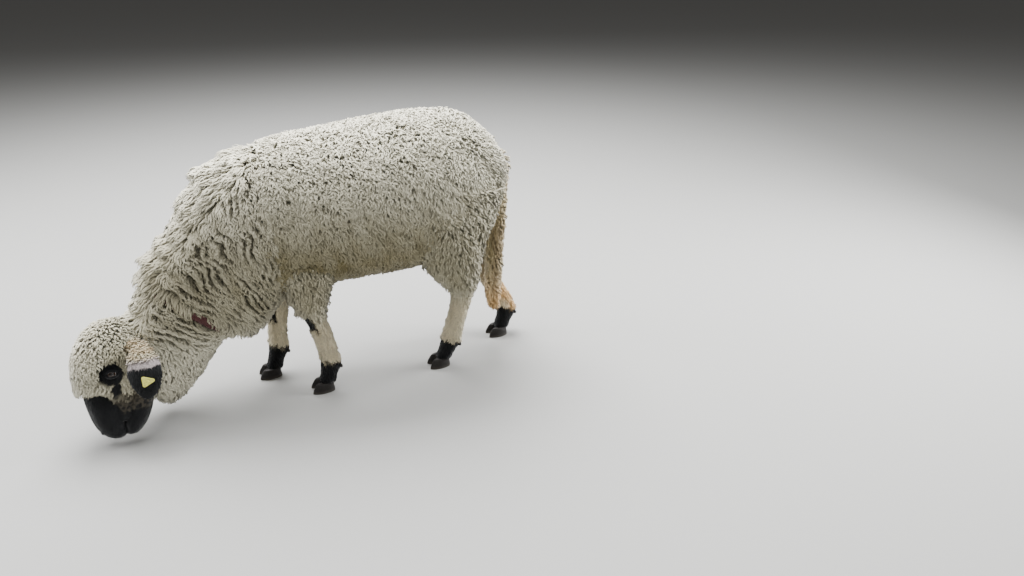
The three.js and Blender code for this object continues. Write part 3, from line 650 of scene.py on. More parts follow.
# Under the wool the skin is painted a tenth darker: painted shade in the gaps between the locks.
skin_with_painted_shade = np.where((skin_black > 0.3)[:, None], skin_colour, skin_colour * 0.9)
coloured(skin, skin_with_painted_shade)


def lead_in(tree, made, inputs):
    """Gives a step of a material its inputs, each a fixed value or what comes out of another step."""
    for name, value in inputs.items():
        if isinstance(value, bpy.types.NodeSocket):
            tree.links.new(value, made.inputs[name])
        else:
            made.inputs[name].default_value = value


def node(tree, kind, inputs=None, **settings):
    """One step of a material, as what comes out of it."""
    made = tree.nodes.new("ShaderNode" + kind)
    for name, value in settings.items():
        setattr(made, name, value)
    lead_in(tree, made, inputs or {})
    return made.outputs


def mixed(tree, share, first, second):
    """A colour between two."""
    return node(tree, "Mix", {"Factor": share, "A": first, "B": second}, data_type="RGBA")["Result"]


def shader(name, roughness, sheen):
    material = bpy.data.materials.new(name)
    material.use_nodes = True
    tree = material.node_tree
    surface = tree.nodes["Principled BSDF"]
    lead_in(tree, surface, {
        "Roughness": roughness,
        "Sheen Weight": sheen,
        "Sheen Roughness": 0.5,
        "Specular IOR Level": 0.25,
    })
    return material, tree, surface


def wool_material(name, grain, depth, along, softness=3.0, sheen=0.4):
    """Wool: its tone by vertex, mottled, with the fine crimp of the fibres as bump."""
    material, tree, surface = shader(name, 0.92, sheen)
    tone = node(tree, "VertexColor", layer_name="tone")["Color"]
    place = node(tree, "TexCoord")["Object"]
    mottle = node(tree, "TexNoise", {"Vector": place, "Scale": 190, "Detail": 3})["Fac"]
    limits = {"From Min": 0.3, "From Max": 0.7, "To Min": 0.86, "To Max": 1.1}
    levels = node(tree, "MapRange", {"Value": mottle, **limits})["Result"]
    mottled = node(tree, "VectorMath", {0: tone, "Scale": levels}, operation="SCALE")["Vector"]
    if along:
        strand = node(tree, "UVMap", uv_map="strand")["UV"]
        place = node(tree, "Mapping", {"Vector": strand, "Scale": (5, 1.2, 1)})["Vector"]
    crimp = node(tree, "TexNoise", {"Vector": place, "Scale": grain, "Detail": 2})["Fac"]
    slope = node(tree, "Bump", {"Height": crimp, "Strength": 0.6, "Distance": depth})["Normal"]
    if along:
        # Fibres scatter light, so a lock takes much of its light as the slope of the whole coat does.
        coat = node(tree, "Attribute", attribute_name="coat_slope")["Vector"]
        both = {0: coat, 1: (softness,) * 3, 2: slope}
        slope = node(tree, "VectorMath", both, operation="MULTIPLY_ADD")["Vector"]
        slope = node(tree, "VectorMath", {0: slope}, operation="NORMALIZE")["Vector"]
    lead_in(tree, surface, {"Base Color": mottled, "Normal": slope})
    return material


def faced(piece, material):
    piece.data.materials.clear()
    piece.data.materials.append(material)
    piece.data.shade_smooth()


faced(skin, wool_material("undercoat", 900, 0.0006, False))


# The fleece is made of locks of crimped wool, each a thin closed tube that rises from the skin, winds round
# its own course and ends in a point. Neighbours gather into staples, with dark partings between them.
lock_finish = wool_material("wool_locks", 4, 0.0009, True)
LIE = np.array([0.3, 0.0, -1.0])


def gathered(at, normal, apart):
    """For each root the way to the middle of its staple, along the skin."""
    middles = []
    cells = {}
    for place in at.tolist():
        key = tuple(int(v // apart) for v in place)
        near = [m for i, j, k in NEARBY for m in cells.get((key[0] + i, key[1] + j, key[2] + k), ())]
        if all(math.dist(m, place) > apart for m in near):
            cells.setdefault(key, []).append(place)
            middles.append(place)
    finder = finder_of(middles)
    nearest = np.array([finder.find(place)[1] for place in at])
    return flat_on(np.array(middles)[nearest] - at, normal), nearest


def locks(
    name, at, normal, uv, part, lie, rise, length, width, curl, turns,
    staple, shade, blunt=0.35, rings=6, sides=3, painted_light_and_shade=1.0, foot=0.8, finish=lock_finish,
):
    """One mesh of locks on the roots, which lean along lie. Sizes are in millimetres, for all or for each.

    A staple is its distance to the next, the pull to its middle and how much lower it is at its edge.
    """
    n = len(at)
    sizes = (rise, length, width, curl, turns)
    rise, length, width, curl, turns = (np.broadcast_to(np.asarray(v, float), n) for v in sizes)
    apart, pull, dome = staple
    pull = np.broadcast_to(pull, n)[:, None]
    to_middle, member = gathered(at, normal, apart)
    rise = rise * (1 - dome * np.minimum(1, np.linalg.norm(to_middle, axis=1) / (0.7 * apart)) ** 2)
    lie = unit(flat_on(lie, normal))
    across = np.cross(normal, lie)
    t = np.linspace(0, 1, rings)[None, :]
    up = rise[:, None] * np.sin(np.minimum(t / 0.8, 1) * np.pi / 2) - np.minimum(2, 0.4 * rise)[:, None]
    along = length[:, None] * t**1.5
    course = at[:, None] + normal[:, None] * up[..., None] + lie[:, None] * along[..., None]
    course = course + to_middle[:, None] * (pull * t**1.3)[..., None]
    heading = np.gradient(course, axis=1)
    heading /= np.linalg.norm(heading, axis=2, keepdims=True)
    second = np.cross(heading, across[:, None])
    staples, own_staple = np.unique(member, return_inverse=True)
    start = draw.random(len(staples))[own_staple] + 0.35 * draw.random(n)
    handed = np.where(draw.random(n) < 0.5, 1, -1)[:, None]
    spin = 2 * np.pi * (start[:, None] + turns[:, None] * t**1.4 * handed)
    swing = curl[:, None] * np.minimum(t * 1.8, 1)
    course = course + across[:, None] * (swing * np.cos(spin))[..., None]
    course = course + second * (swing * np.sin(spin))[..., None]
    heading = np.gradient(course, axis=1)
    heading /= np.linalg.norm(heading, axis=2, keepdims=True)
    wide = across[:, None] - heading * (across[:, None] * heading).sum(2, keepdims=True)
    wide /= np.linalg.norm(wide, axis=2, keepdims=True)
    deep = np.cross(heading, wide)
    bead = 1 + 0.12 * np.sin(2 * np.pi * (2.1 * t + draw.random(n)[:, None]))
    taper = np.minimum(1, (1 - t) / blunt) ** 0.6 * 0.82 + 0.18
    girth = (width[:, None] / 2 * (1 + foot * (1 - t)) * bead * taper)[..., None]
    a = (np.arange(sides) / sides * 2 * np.pi)[None, None, :]
    ring = course[:, :, None] + wide[:, :, None] * (girth * np.cos(a))[..., None]
    ring = ring + deep[:, :, None] * (0.75 * girth * np.sin(a))[..., None]
    points = in_model(ring.reshape(-1, 3))
    ring_index = np.arange(n * rings * sides).reshape(n, rings, sides)
    turned = np.roll(ring_index, -1, axis=2)
    quads = np.stack([ring_index[:, :-1], turned[:, :-1], turned[:, 1:], ring_index[:, 1:]], axis=-1)
    quads = quads.reshape(-1, 4)
    ends = np.concatenate([ring_index[:, 0, ::-1], ring_index[:, -1]]).reshape(-1, sides)
    piece_mesh = bpy.data.meshes.new(name)
    piece_mesh.vertices.add(len(points))
    piece_mesh.vertices.foreach_set("co", points.ravel())
    corners = np.concatenate([quads.ravel(), ends.ravel()])
    piece_mesh.loops.add(len(corners))
    piece_mesh.loops.foreach_set("vertex_index", corners)
    starts = np.concatenate([np.arange(len(quads)) * 4, len(quads) * 4 + np.arange(len(ends)) * sides])
    piece_mesh.polygons.add(len(starts))
    piece_mesh.polygons.foreach_set("loop_start", starts)
    piece_mesh.update(calc_edges=True)
    piece_mesh.validate()
    # The patch on the skin's unwrap: across it the lock's sides, along it its length.
    row = np.broadcast_to((np.arange(rings) / (rings - 1) - 0.5)[None, :, None], ring_index.shape)
    column = np.broadcast_to((np.arange(sides) / sides - 0.5)[None, None, :], ring_index.shape)
    patch = uv[:, None, None, :] + 0.003 * np.stack([column, row], axis=-1)
    order = np.arange(n)[:, None, None]
    strand = np.stack([column + order * 0.37, row + order * 0.73], axis=-1)
    for layer_name, values in (("OFBake", patch), ("strand", strand)):
        layer = piece_mesh.uv_layers.new(name=layer_name)
        layer.data.foreach_set("uv", values.reshape(-1, 2)[corners].astype(np.float32).ravel())
    piece = bpy.data.objects.new(name, piece_mesh)
    bpy.context.scene.collection.objects.link(piece)
    colour, black = coat_colour(at, part)
    # Each lock's tone differs a little at random, times its painted light and shade: creases darker as
    # painted shade, the nape lighter as painted light.
    own = ((1 + 0.1 * (draw.random(n) - 0.5)) * (1 + 0.06 * ripple(at, 35, 9)) * painted_light_and_shade)[:, None]
    # Each lock darkens towards its root: painted shade of the fleece's depth. Black locks are not darkened.
    depth = shade + (1 - shade) * t**0.8
    light = np.where(black[:, None] > 0.5, 1, depth)
    tone = colour[:, None] * own[:, None] * light[..., None]
    coloured(piece, np.repeat(tone.reshape(-1, 3), sides, axis=0))
    slope = piece_mesh.attributes.new("coat_slope", "FLOAT_VECTOR", "POINT")
    slopes = np.repeat(normal, rings * sides, axis=0).astype(np.float32)
    slope.data.foreach_set("vector", slopes.ravel())
    faced(piece, finish)
    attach(piece, "root")
    return piece


def hanging(at, normal, pull=LIE):
    """The lie of a coat that hangs down and back, a little swirled."""
    swirl = np.column_stack([ripple(at, 120, 11), ripple(at, 90, 12), ripple(at, 120, 13)])
    lie = flat_on(np.tile(pull, (len(at), 1)) + 0.25 * swirl, normal)
    short = np.linalg.norm(lie, axis=1) < 0.25
    lie[short] += flat_on(np.tile([0.4, 0.0, 0.0], (short.sum(), 1)), normal[short])
    return lie


# The collar is a flat woven strap round the neck, pulled down towards the breast and sunk in the wool. It
# shows only where the wool parts on the left side.
COLLAR = {"centre": (-258, -6, 322), "tilt": 41, "long": 148, "wide": 98, "strap": 25, "thick": 2.6}
SLIT = np.array([-226.0, -110.0, 340.0])
collar_down = np.array([math.cos(math.radians(COLLAR["tilt"])), 0, -math.sin(math.radians(COLLAR["tilt"]))])
collar_axis = np.cross(collar_down, [0, 1, 0])


def collar_level(p):
    """How far places lie along the neck from the middle of the collar, towards the nape."""
    return (p - np.array(COLLAR["centre"])) @ collar_axis


def strap_rings(count=120, across=10):
    a = np.linspace(0, 2 * np.pi, count, endpoint=False)[:, None]
    level = np.linspace(-0.5, 0.5, across)[None, :] * COLLAR["strap"]
    sway = 2.0 * np.sin(3 * a + 0.6) + 1.2 * np.sin(7 * a)
    faces = []
    for side in (1, -1):
        rounding = 1 - 0.35 * abs(2 * level / COLLAR["strap"]) ** 8
        reach = side * COLLAR["thick"] / 2 * rounding
        out = collar_down[None, None] * ((COLLAR["long"] + reach) * np.cos(a))[..., None]
        out = out + np.array([0, 1.0, 0])[None, None] * ((COLLAR["wide"] + reach) * np.sin(a))[..., None]
        face = np.array(COLLAR["centre"]) + out + collar_axis[None, None] * (level + sway)[..., None]
        faces.append(face[:, ::side])
    return np.concatenate(faces, axis=1)


collar = rolled("collar_strap", strap_rings(), hoop=True)
webbing, tree, surface = shader("woven_strap", 0.8, 0.3)
flat = node(tree, "UVMap", uv_map="UVMap")["UV"]
slant = node(tree, "Mapping", {"Vector": flat, "Scale": (0.25, 4.0, 1), "Rotation": (0, 0, 0.5)})["Vector"]
weave = node(tree, "TexWave", {"Vector": slant, "Scale": 70, "Distortion": 0.6})["Fac"]
bump = node(tree, "Bump", {"Height": weave, "Distance": 0.0006})["Normal"]
dye = mixed(tree, weave, (0.07, 0.014, 0.013, 1), (0.17, 0.035, 0.032, 1))
lead_in(tree, surface, {"Base Color": dye, "Normal": bump})
faced(collar, webbing)
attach(collar, "root")
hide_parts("collar")


def beside_slit(p, reach):
    """Whether places lie within reach of the parting in which the strap shows."""
    return (p[:, 1] < 0) & (abs((p - SLIT) @ collar_down) < reach)


def clear_of_collar(p):
    """No wool is rooted under the strap, and less above it where it shows."""
    level = collar_level(p)
    on_neck = (p[:, 0] > -400) & (p[:, 0] < -60)
    under = abs(level) < COLLAR["strap"] / 2 + 1
    parted = beside_slit(p, 30) & (level > 0) & (level < 15)
    return ~(on_neck & (under | parted))


# Folds of wool run round the neck in a fan from the breast and fade on the shoulder: each rises towards
# the head and drops into a crease, whose locks are painted darker as shade. On the nape they stand out as
# stepped tufts that point forward.
FAN = (20.0, 90.0)
FAN_REACH = 430.0
FAN_MIDDLE = math.radians(55)
FOLD_START = 126
FOLD_APART = 48
CREASE_APART = 22


def folds(p, normal):
    """The folds' height from -1 to 1, the depth of their creases, their strength and their wool's lie."""
    x, z = FAN[0] - p[:, 0], p[:, 2] - FAN[1]
    level = FAN_REACH * (np.arctan2(z, x) - FAN_MIDDLE)
    strength = step(-260, -190, level) * step(320, 200, level) * step(0, -110, p[:, 0])
    big = (level - FOLD_START + 9 * ripple(p, 120, 31) + 4 * ripple(p, 45, 32)) / FOLD_APART
    ahead = 1 - (big - np.floor(big))
    steps = np.where(ahead > 0.2, (ahead - 0.2) / 0.8, 1 - ahead / 0.2) * 2 - 1
    steps = steps * (0.7 + 0.3 * np.cos(2 * np.pi * big / 4))
    small = (level + 12 * ripple(p, 100, 33) + 5 * ripple(p, 38, 34)) / CREASE_APART
    small = small - np.floor(small)
    rounded = 2 * np.sin(np.pi * small) - 1
    on_nape = nape_share(normal)
    broken = step(-0.7, 0.4, ripple(p, 70, 35)) * (1 - on_nape) * strength * step(690, 600, p[:, 2])
    steps = steps + on_nape * 0.8 * np.cos(2 * np.pi * big / 4)
    height = on_nape * steps * strength + (1 - on_nape) * 0.3 * steps * strength
    height = height + 0.7 * broken * rounded
    crease = broken * step(0.1, -0.6, rounded)
    reach = np.hypot(x, z)
    along = np.column_stack([x, 0 * x, -z]) / reach[:, None]
    across = np.column_stack([z, 0 * x, x]) / reach[:, None]
    way = along * (strength * (1 - on_nape))[:, None] + across * (broken * np.cos(np.pi * small))[:, None]
    return height, crease, strength, way


def nape_share(normal):
    """How much a place faces forward and up, as the nape does."""
    return step(0.3, 0.75, normal @ np.array([-0.75, 0, 0.66]))


# The torso's fleece is parted in four quarters: tight curls on the back, and longer waves that hang on the
# flanks and the belly. It rises over the rump and sinks into the last creases of the neck.
at, normal, uv, part = roots(["torso"], 4.1)
side = step(0.6, 0.0, normal[:, 2]) * step(720, 580, at[:, 2])
height, crease, strength, way = folds(at, normal)
rump = step(0.55, 0.85, normal @ np.array([0.6, 0, 0.8])) * step(430, 520, at[:, 0])
on_left, in_front = at[:, 1] < 0, at[:, 0] < 260
for name, on in (
    ("fleece_left_fore", on_left & in_front),
    ("fleece_left_rear", on_left & ~in_front),
    ("fleece_right_fore", ~on_left & in_front),
    ("fleece_right_rear", ~on_left & ~in_front),
):
    bulk = 0.94 + 0.07 * ripple(at[on], 60, 21) + (0.03 + 0.06 * side[on]) * ripple(at[on], 24, 24)
    bulk = bulk + 0.03 * (draw.random(on.sum()) - 0.5)
    bulk = (bulk + 0.2 * height[on] + 0.5 * rump[on]) * (1 - 0.4 * crease[on])
    tousle = (0.6 - 0.3 * side[on, None]) * draw.normal(size=(on.sum(), 3))
    locks(
        name, at[on], normal[on], uv[on], part[on], hanging(at[on], normal[on]) + way[on] + tousle,
        rise=(TORSO_WOOL - 3 * side[on]) * bulk,
        length=(25 + 1 * side[on]) * (1 - 0.5 * crease[on]),
        width=6.2 - 0.4 * side[on],
        curl=2.7,
        turns=1.4,
        staple=(17, 0.06 + 0.29 * side[on], 0.04),
        blunt=0.4,
        rings=5,
        shade=1,
        # Locks in the creases are painted darker: painted shade.
        painted_light_and_shade=1 - 0.42 * crease[on],
    )


def gap(finder, places):
    """How far each place is from the nearest point of the finder."""
    return np.array([finder.find(place)[2] for place in places])


# The neck's fleece lies in folds on both sides and in pale stepped tufts along the nape. Wool above the
# collar hangs over the strap. The far ear lies against the neck, and the wool there stops short of it.
at, normal, uv, part = roots(["neck"], 4.6, lambda p, part: clear_of_collar(p))
ear_finder = finder_of(head_parts["ear_right"].reshape(-1, 3))
tips = at + normal * 22 + unit(hanging(at, normal)) * 10
open_ear = np.minimum(gap(ear_finder, tips), gap(ear_finder, at + normal * 12) - 4) > 13
at, normal, uv, part = at[open_ear], normal[open_ear], uv[open_ear], part[open_ear]
height, crease, strength, way = folds(at, normal)
nape = nape_share(normal)
over_strap = step(44, 34, collar_level(at)) * step(8, 12, collar_level(at)) * ~beside_slit(at, 31)
on_nape = (nape > 0.4) & (strength > 0.2) & (over_strap < 0.1)
for name, on, staple, more in (
    ("fleece_neck_left", ~on_nape & (at[:, 1] < -8), (13, 0.2, 0.06), 0),
    ("fleece_neck_right", ~on_nape & (at[:, 1] >= -8), (13, 0.2, 0.06), 0),
    ("fleece_nape", on_nape, (24, 0.5, 0.15), 12),
):
    bulk = 0.92 - 0.1 * nape[on] + 0.05 * ripple(at[on], 55, 22) + 0.05 * ripple(at[on], 28, 25)
    bulk = bulk + 0.08 * (draw.random(on.sum()) - 0.5)
    bulk = np.maximum(0.3, bulk + (0.2 + 0.16 * nape[on]) * height[on]) * (1 - 0.45 * crease[on])
    lie = 0.6 * hanging(at[on], normal[on]) + 2.2 * way[on] + 0.18 * draw.normal(size=(on.sum(), 3))
    lie = lie + nape[on, None] * np.array([-1.2, 0, -0.3]) - 3 * over_strap[on, None] * collar_axis
    locks(
        name, at[on], normal[on], uv[on], part[on], lie,
        rise=(NECK_WOOL - 2) * bulk,
        length=(20 + more) * (1 - 0.5 * crease[on]) + 22 * over_strap[on],
        width=5.6,
        curl=2.2,
        turns=1.3,
        staple=staple,
        blunt=0.4 + more / 30,
        shade=0.94,
        # Locks in the creases are painted darker as painted shade, and the nape's tufts a tenth lighter as
        # painted light.
        painted_light_and_shade=1 + more / 120 - 0.4 * crease[on],
    )

# The legs' fleece is short above the fetlock, fills out over the knee or hock, and is deepest where the leg
# joins the body: for each pair the heights between which it fills out and joins, and its depth there.
SHORTEST = 6.5
LEG_WOOL = {"fore": ((215, 290), 13, (330, 410), 19), "hind": ((235, 330), 18, (430, 540), 28)}
for leg in LEGS:
    at, normal, uv, part = roots([leg], 5.4, lambda p, part: coat_colour(p, part)[1] < 0.5)
    filling, depth_filled, joining, depth_joined = LEG_WOOL[leg[:4]]
    full, joined = step(*filling, at[:, 2]), step(*joining, at[:, 2])
    depth = SHORTEST + (depth_filled - SHORTEST) * full + (depth_joined - depth_filled) * joined
    locks(
        "fleece_" + leg, at, normal, uv, part, hanging(at, normal, np.array([0.1, 0, -1.0])),
        rise=depth * (1 + (0.35 - 0.25 * joined) * ripple(at, 22, 27)),
        length=10 + 10 * full,
        width=4.6 + 1.6 * full,
        curl=1.8 + 0.6 * full,
        turns=1.2,
        staple=(12, 0.3, 0.12),
        shade=0.94,
    )

# The tail's fleece hangs down to the hocks in loose curls, longer at the root, where it joins the rump.
at, normal, uv, part = roots(["tail"], 5.6)
locks(
    "fleece_tail", at, normal, uv, part, hanging(at, normal) + 0.3 * draw.normal(size=at.shape),
    rise=13 * (1 + 0.3 * ripple(at, 34, 28)) + 15 * step(560, 640, at[:, 2]),
    length=17,
    width=5.8,
    curl=2.2,
    turns=1.3,
    staple=(13, 0.3, 0.12),
    shade=0.93,
)


# The head's wool is a curly crown on poll and forehead and short wool on the cheeks and at the roots of the
# ears. It stops at the black marks of the face.
def face_wool(p, part):
    s, f = head_place(p)[:2]
    bare = coat_colour(p, part)[1] > 0.4
    on_ear = in_parts(part, "ear_left", "ear_right")
    return np.where(on_ear, EAR_ROOT[0] - s < 40, ~bare & (s > 84) & (s > muzzle_line(f) + 4))


at, normal, uv, part = roots(["skull", "cheeks", "jaw", "ear_left", "ear_right"], 3.9, face_wool)
s, f = head_place(at)[:2]
crown = step(-34, -6, f) * step(116, 145, s)
crown = np.maximum(crown, step(196, 226, s))
crown = np.where(in_parts(part, "ear_left", "ear_right"), 0.0, crown)
forward = np.tile(TO_NOSE, (len(at), 1)) * (0.4 + 0.6 * crown)[:, None]
locks(
    "fleece_head", at, normal, uv, part,
    forward + np.array([0, 0, -0.4]) + 0.35 * draw.normal(size=at.shape),
    rise=7 + 14 * crown,
    length=8 + 8 * crown,
    width=3.9 + 1.2 * crown,
    curl=1.5 + 0.6 * crown,
    turns=1.2,
    staple=(11, 0.18, 0.08),
    blunt=0.45,
    shade=0.95,
)


# The short black fur is sleek hair, under a centimetre long, that lies flat on muzzle, eye patches, ears
# and feet, away from the nose on the face and down on the legs. The skin's bump and fine tufts carry it.
fur_finish = wool_material("short_fur", 4, 0.0004, True, 0.4, 0.03)


def short_fur(name, names, wanted, lie, room, rise, length, width):
    at, normal, uv, part = roots(names, room, wanted)
    ways = unit(flat_on(lie, normal)) + 0.35 * draw.normal(size=at.shape)
    piece = locks(
        name, at, normal, uv, part, ways, rise=rise, length=length, width=width,
        curl=0.25, turns=0.5, staple=(9, 0.15, 0), blunt=0.9, rings=5, shade=1, foot=0, finish=fur_finish,
    )


def face_fur(p, part):
    s, f, side = head_place(p)
    black = coat_colour(p, part)[1] > 0.25
    lips = (s < 7) & (abs(side) < 20)
    at_eye = np.hypot(s - EYE[0], 0.7 * (f - EYE[1])) < 10
    return (black | (s < 118)) & ~lips & ~at_eye


def ear_fur(p, part):
    return EAR_ROOT[0] - head_place(p)[0] > 34


def leg_fur(p, part):
    return (coat_colour(p, part)[1] > 0.3) & (p[:, 2] > 22)


back_and_down = -TO_NOSE - 0.4 * TO_FACE
short_fur("fur_face", ["skull", "cheeks", "jaw"], face_fur, back_and_down, 3.2, 1.5, 6.0, 1.6)
for ear in ("ear_left", "ear_right"):
    short_fur("fur_" + ear, [ear], ear_fur, TO_NOSE, 3.6, 1.6, 7.5, 1.8)
for leg in LEGS:
    short_fur("fur_" + leg, [leg], leg_fur, np.array([0.1, 0, -1.0]), 3.6, 2.6, 10.0, 2.2)


# The eyes are dark brown with the sheep's wide flat pupil, and wet. They sit in their sockets, behind lids
# that are part of the skin.
for hand, name in ((1, "eye_left"), (-1, "eye_right")):
    centre = head_point(EYE[0], EYE[1], hand * EYE[2])
    eye = ball(name + "_ball", centre, (TO_FACE, TO_NOSE, TO_LEFT), (EYE_RADIUS,) * 3, 48)
    glass, tree, surface = shader(name + "_wet", 0.06, 0)
    axes = Matrix((TO_FACE, TO_NOSE, np.cross(TO_FACE, TO_NOSE))).transposed()
    in_eye = node(tree, "Mapping", {
        "Vector": node(tree, "TexCoord")["Object"],
        "Location": in_model(centre),
        "Rotation": axes.to_euler(),
        "Scale": (EYE_RADIUS / 1000,) * 3,
    }, vector_type="TEXTURE")["Vector"]
    ways = node(tree, "SeparateXYZ", {"Vector": in_eye})
    # The pupil is a slot with round ends, this wide and high in shares of the eyeball.
    reaches = []
    for axis, reach in (("X", 0.46), ("Y", 0.17)):
        share = node(tree, "Math", {0: ways[axis], 1: reach}, operation="DIVIDE")["Value"]
        reaches.append(node(tree, "Math", {0: share, 1: 4}, operation="POWER")["Value"])
    total = node(tree, "Math", {0: reaches[0], 1: reaches[1]}, operation="ADD")["Value"]
    edge = node(tree, "MapRange", {"Value": total, "From Min": 0.8, "From Max": 1.4})["Result"]
    flecks = node(tree, "TexNoise", {"Vector": in_eye, "Scale": 9})["Fac"]
    iris = mixed(tree, flecks, (0.030, 0.014, 0.006, 1), (0.045, 0.022, 0.009, 1))
    lead_in(tree, surface, {
        "Base Color": mixed(tree, edge, (0.002, 0.002, 0.003, 1), iris),
        "Specular IOR Level": 0.6,
        "Coat Weight": 0.8,
        "Coat Roughness": 0.02,
    })
    faced(eye, glass)
    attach(eye, "root")
    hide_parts(name)


# The hooves are two claws of horn a foot, flat on the inner side and rounded outside, with growth rings
# round the wall, worn pale along the sole. Two dew claws sit behind each fetlock.
CLAW_PROFILE = [
    [0, -45, 19, 12.4],
    [2, -46, 20, 13.2],
    [8, -44.6, 19.8, 13.5],
    [14, -42.6, 19.2, 13.5],
    [21, -38.4, 17.8, 13.1],
    [27, -34.8, 16.4, 12.6],
    [31, -31, 14, 11.2],
]
CLAW_SIDE = 14.5
CLAW_SPLAY = math.radians(5)

horn, tree, surface = shader("hoof_horn", 0.5, 0)
place = node(tree, "TexCoord")["Object"]
growth = node(
    tree, "TexWave", {"Vector": place, "Scale": 90, "Distortion": 2.5, "Detail": 2}, bands_direction="Z"
)["Fac"]
height = node(tree, "SeparateXYZ", {"Vector": place})["Z"]
worn = {"From Min": 0.0, "From Max": 0.012, "To Min": 0.8, "To Max": 0.0}
wear = node(tree, "MapRange", {"Value": height, **worn})["Result"]
dark = mixed(tree, growth, (0.012, 0.010, 0.009, 1), (0.026, 0.023, 0.021, 1))
lead_in(tree, surface, {
    "Base Color": mixed(tree, wear, dark, (0.08, 0.07, 0.058, 1)),
    "Normal": node(tree, "Bump", {"Height": growth, "Distance": 0.0008})["Normal"],
})


def claw_rings(x, y, side):
    z, toe, heel, half = between(CLAW_PROFILE, np.linspace(0, 1, 19)).T
    a = np.linspace(0, 2 * np.pi, 32, endpoint=False)[None, :]
    middle, reach = ((toe + heel) / 2)[:, None], ((heel - toe) / 2)[:, None]
    to_toe = np.where(np.cos(a) < 0, 0.35 * np.cos(a) ** 2, 0)
    flat = np.where(np.sin(a) < 0, 0.72, 1)
    px = middle + reach * np.cos(a)
    py = side * (half[:, None] * flat * np.sin(a) * (1 - to_toe) - 0.12 * half[:, None] * to_toe)
    c, s = math.cos(-side * CLAW_SPLAY), math.sin(-side * CLAW_SPLAY)
    level = np.maximum(z, 0)[:, None] + 0 * px
    return np.stack([x + px * c - py * s, y + side * CLAW_SIDE + px * s + py * c, level], -1)


for leg, stations in LEGS.items():
    x, y = stations[-1][:2]
    hand = -1 if leg.endswith("left") else 1
    end, girdle = leg.split("_")
    for side, where in ((hand, "outer"), (-hand, "inner")):
        claw = rolled(f"claw_{leg}_{where}", claw_rings(x, y, side))
        faced(claw, horn)
        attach(claw, "root")
        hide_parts(f"{end}_hoof_{girdle}_{where}")
    x, y, z, deep = stations[-3][:4]
    for side in (-1, 1):
        where = "outer" if side == hand else "inner"
        behind = (x + deep - 4, y + side * 12, z - 4)
        slanted = ((0.82, 0, 0.57), (0, 1, 0), (-0.57, 0, 0.82))
        dew = ball(f"dew_claw_{leg}_{where}", behind, slanted, (6, 5.5, 9), 16)
        faced(dew, horn)
        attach(dew, "root")


# The ear tag is a moulded yellow plate on the back of the left ear, its narrow end to the rear, with a
# raised rim and a round boss over the pin, which goes through the ear to a button on the other side.
TAG = {"down": 92, "rear": -4, "thick": 2, "lift": 3}
TAG_CORNERS = np.array([[-11.5, 0.0], [8.5, 9.0], [8.5, -9.0]])
TAG_MIDDLE = np.zeros((1, 2))
rear, out, cup = between(EAR, np.array([0.6]))[0][[1, 2, 4]]
tag_at = head_point(EAR_ROOT[0] - TAG["down"], EAR_ROOT[1] + rear + TAG["rear"], EAR_ROOT[2] + out + cup)


def tag_disc(name, radius, low, high, corners, bevel=0.5, sides=60):
    """A thin moulded disc in the tag's own plane, round its corners, between two heights."""
    a = np.linspace(0, 2 * np.pi, sides, endpoint=False)
    out = np.stack([np.cos(a), np.sin(a)], 1)
    corner_of = corners[np.argmax(out @ corners.T, axis=1)]
    rings = []
    for height, inset in (
        (low, bevel),
        (low + bevel, 0),
        (high - bevel, 0),
        (high - bevel * 0.3, bevel * 0.3),
        (high, bevel),
    ):
        edge = corner_of + (radius - inset) * out
        flat = np.outer(edge[:, 0], TO_FACE) + np.outer(edge[:, 1], TO_NOSE)
        rings.append(tag_at + flat + TO_LEFT * height)
    return rolled(name, np.array(rings))


top = TAG["lift"] + TAG["thick"]
tag = tag_disc("ear_tag_plate", 4.6, TAG["lift"], top, TAG_CORNERS, 0.6)
rim = tag_disc("tag_rim", 4.3, TAG["lift"] + 1, top + 0.7, TAG_CORNERS, 0.4)
cut(rim, tag_disc("tag_hollow", 2.6, top, top + 5, TAG_CORNERS, 0.3))
boss = tag_disc("tag_boss", 3.6, TAG["lift"] + 1, top + 1.1, TAG_MIDDLE, 0.5, 32)
pin = tag_disc("tag_pin", 2.6, -10, TAG["lift"] + 1, TAG_MIDDLE, 0.3, 24)
button = tag_disc("tag_button", 8, -11, -9, TAG_MIDDLE, 0.5, 40)
for piece in (rim, boss, pin, button):
    cut(tag, piece, "UNION")
plastic, tree, surface = shader("yellow_plastic", 0.42, 0)
place = node(tree, "TexCoord")["Object"]
specks = node(tree, "TexNoise", {"Vector": place, "Scale": 420, "Detail": 3})["Fac"]
spread = node(tree, "MapRange", {"Value": specks, "From Min": 0.35, "From Max": 0.6})["Result"]
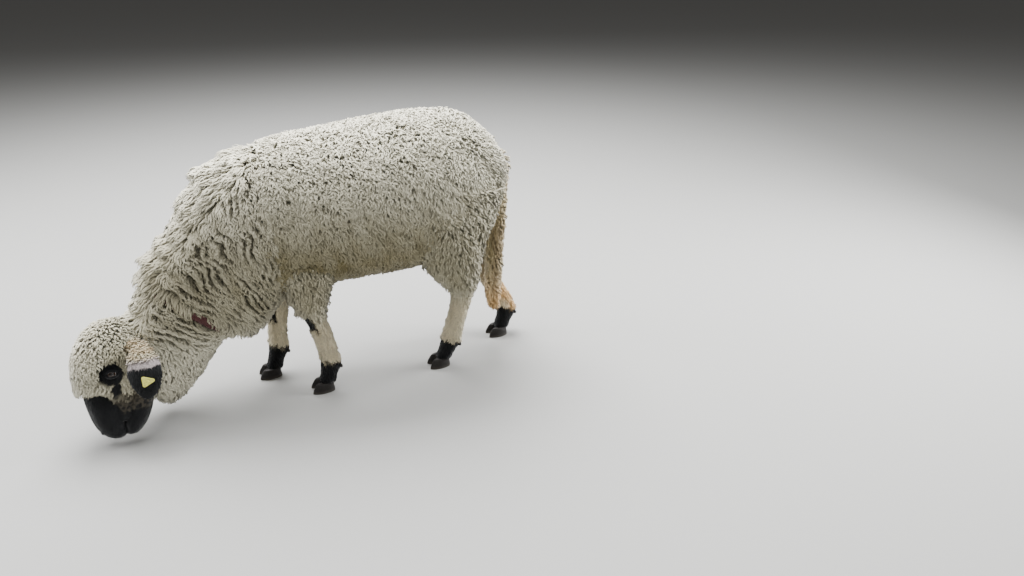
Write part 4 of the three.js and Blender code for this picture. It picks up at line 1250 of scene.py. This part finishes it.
lead_in(tree, surface, {"Base Color": mixed(tree, spread, (0.44, 0.42, 0.09, 1), (0.78, 0.76, 0.20, 1))})
faced(tag, plastic)
pick(tag)
bpy.ops.object.shade_smooth_by_angle(angle=math.radians(35))
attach(tag, "root")
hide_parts("ear_tag")


# The stage is a plain pale floor under soft studio light, most of it from above and behind. The camera
# stands where the feet, the top line and the head of the photographed animal fall on their places.
bpy.ops.mesh.primitive_plane_add(size=80, location=(0, 0, 0))
floor = bpy.context.object
floor.name = "floor"
paper = bpy.data.materials.new("floor_paper")
paper.use_nodes = True
surface = paper.node_tree.nodes["Principled BSDF"]
lead_in(paper.node_tree, surface, {"Base Color": (0.36, 0.36, 0.35, 1), "Roughness": 0.9})
floor.data.materials.append(paper)
world = bpy.data.worlds.new("studio")
world.use_nodes = True
sky = world.node_tree.nodes["Background"]
lead_in(world.node_tree, sky, {"Color": (1.0, 0.98, 0.95, 1), "Strength": 0.125})
bpy.context.scene.world = world
camera = bpy.data.objects.new("camera", bpy.data.cameras.new("camera"))
bpy.context.scene.collection.objects.link(camera)
camera.data.sensor_width = 36
camera.data.lens = 26.72
yaw, pitch = math.radians(22), math.radians(25)
ahead = Vector((math.sin(yaw) * math.cos(pitch), math.cos(yaw) * math.cos(pitch), -math.sin(pitch)))
camera.location = (FEET_TO_CENTRE[0] / 1000 - 0.1463, -2.0739, 1.235)
camera.rotation_mode = "QUATERNION"
camera.rotation_quaternion = ahead.to_track_quat("-Z", "Y")
bpy.context.scene.camera = camera
for name, place, size, power in (
    ("key", (0.2, 1.6, 3.5), 2.6, 460),
    ("top", (-0.6, -0.2, 3.7), 3.4, 225),
    ("rim", (-2.6, 1.3, 1.6), 1.2, 70),
    ("rear", (2.7, -0.4, 1.5), 1.2, 130),
    ("fill", (0.5, -3.6, 1.9), 3, 14),
):
    bpy.ops.object.light_add(type="AREA", location=place)
    light = bpy.context.object
    light.name = name
    light.data.size = size
    light.data.energy = power
    light.rotation_euler = (Vector((0, 0, 0.4)) - Vector(place)).to_track_quat("-Z", "Y").to_euler()
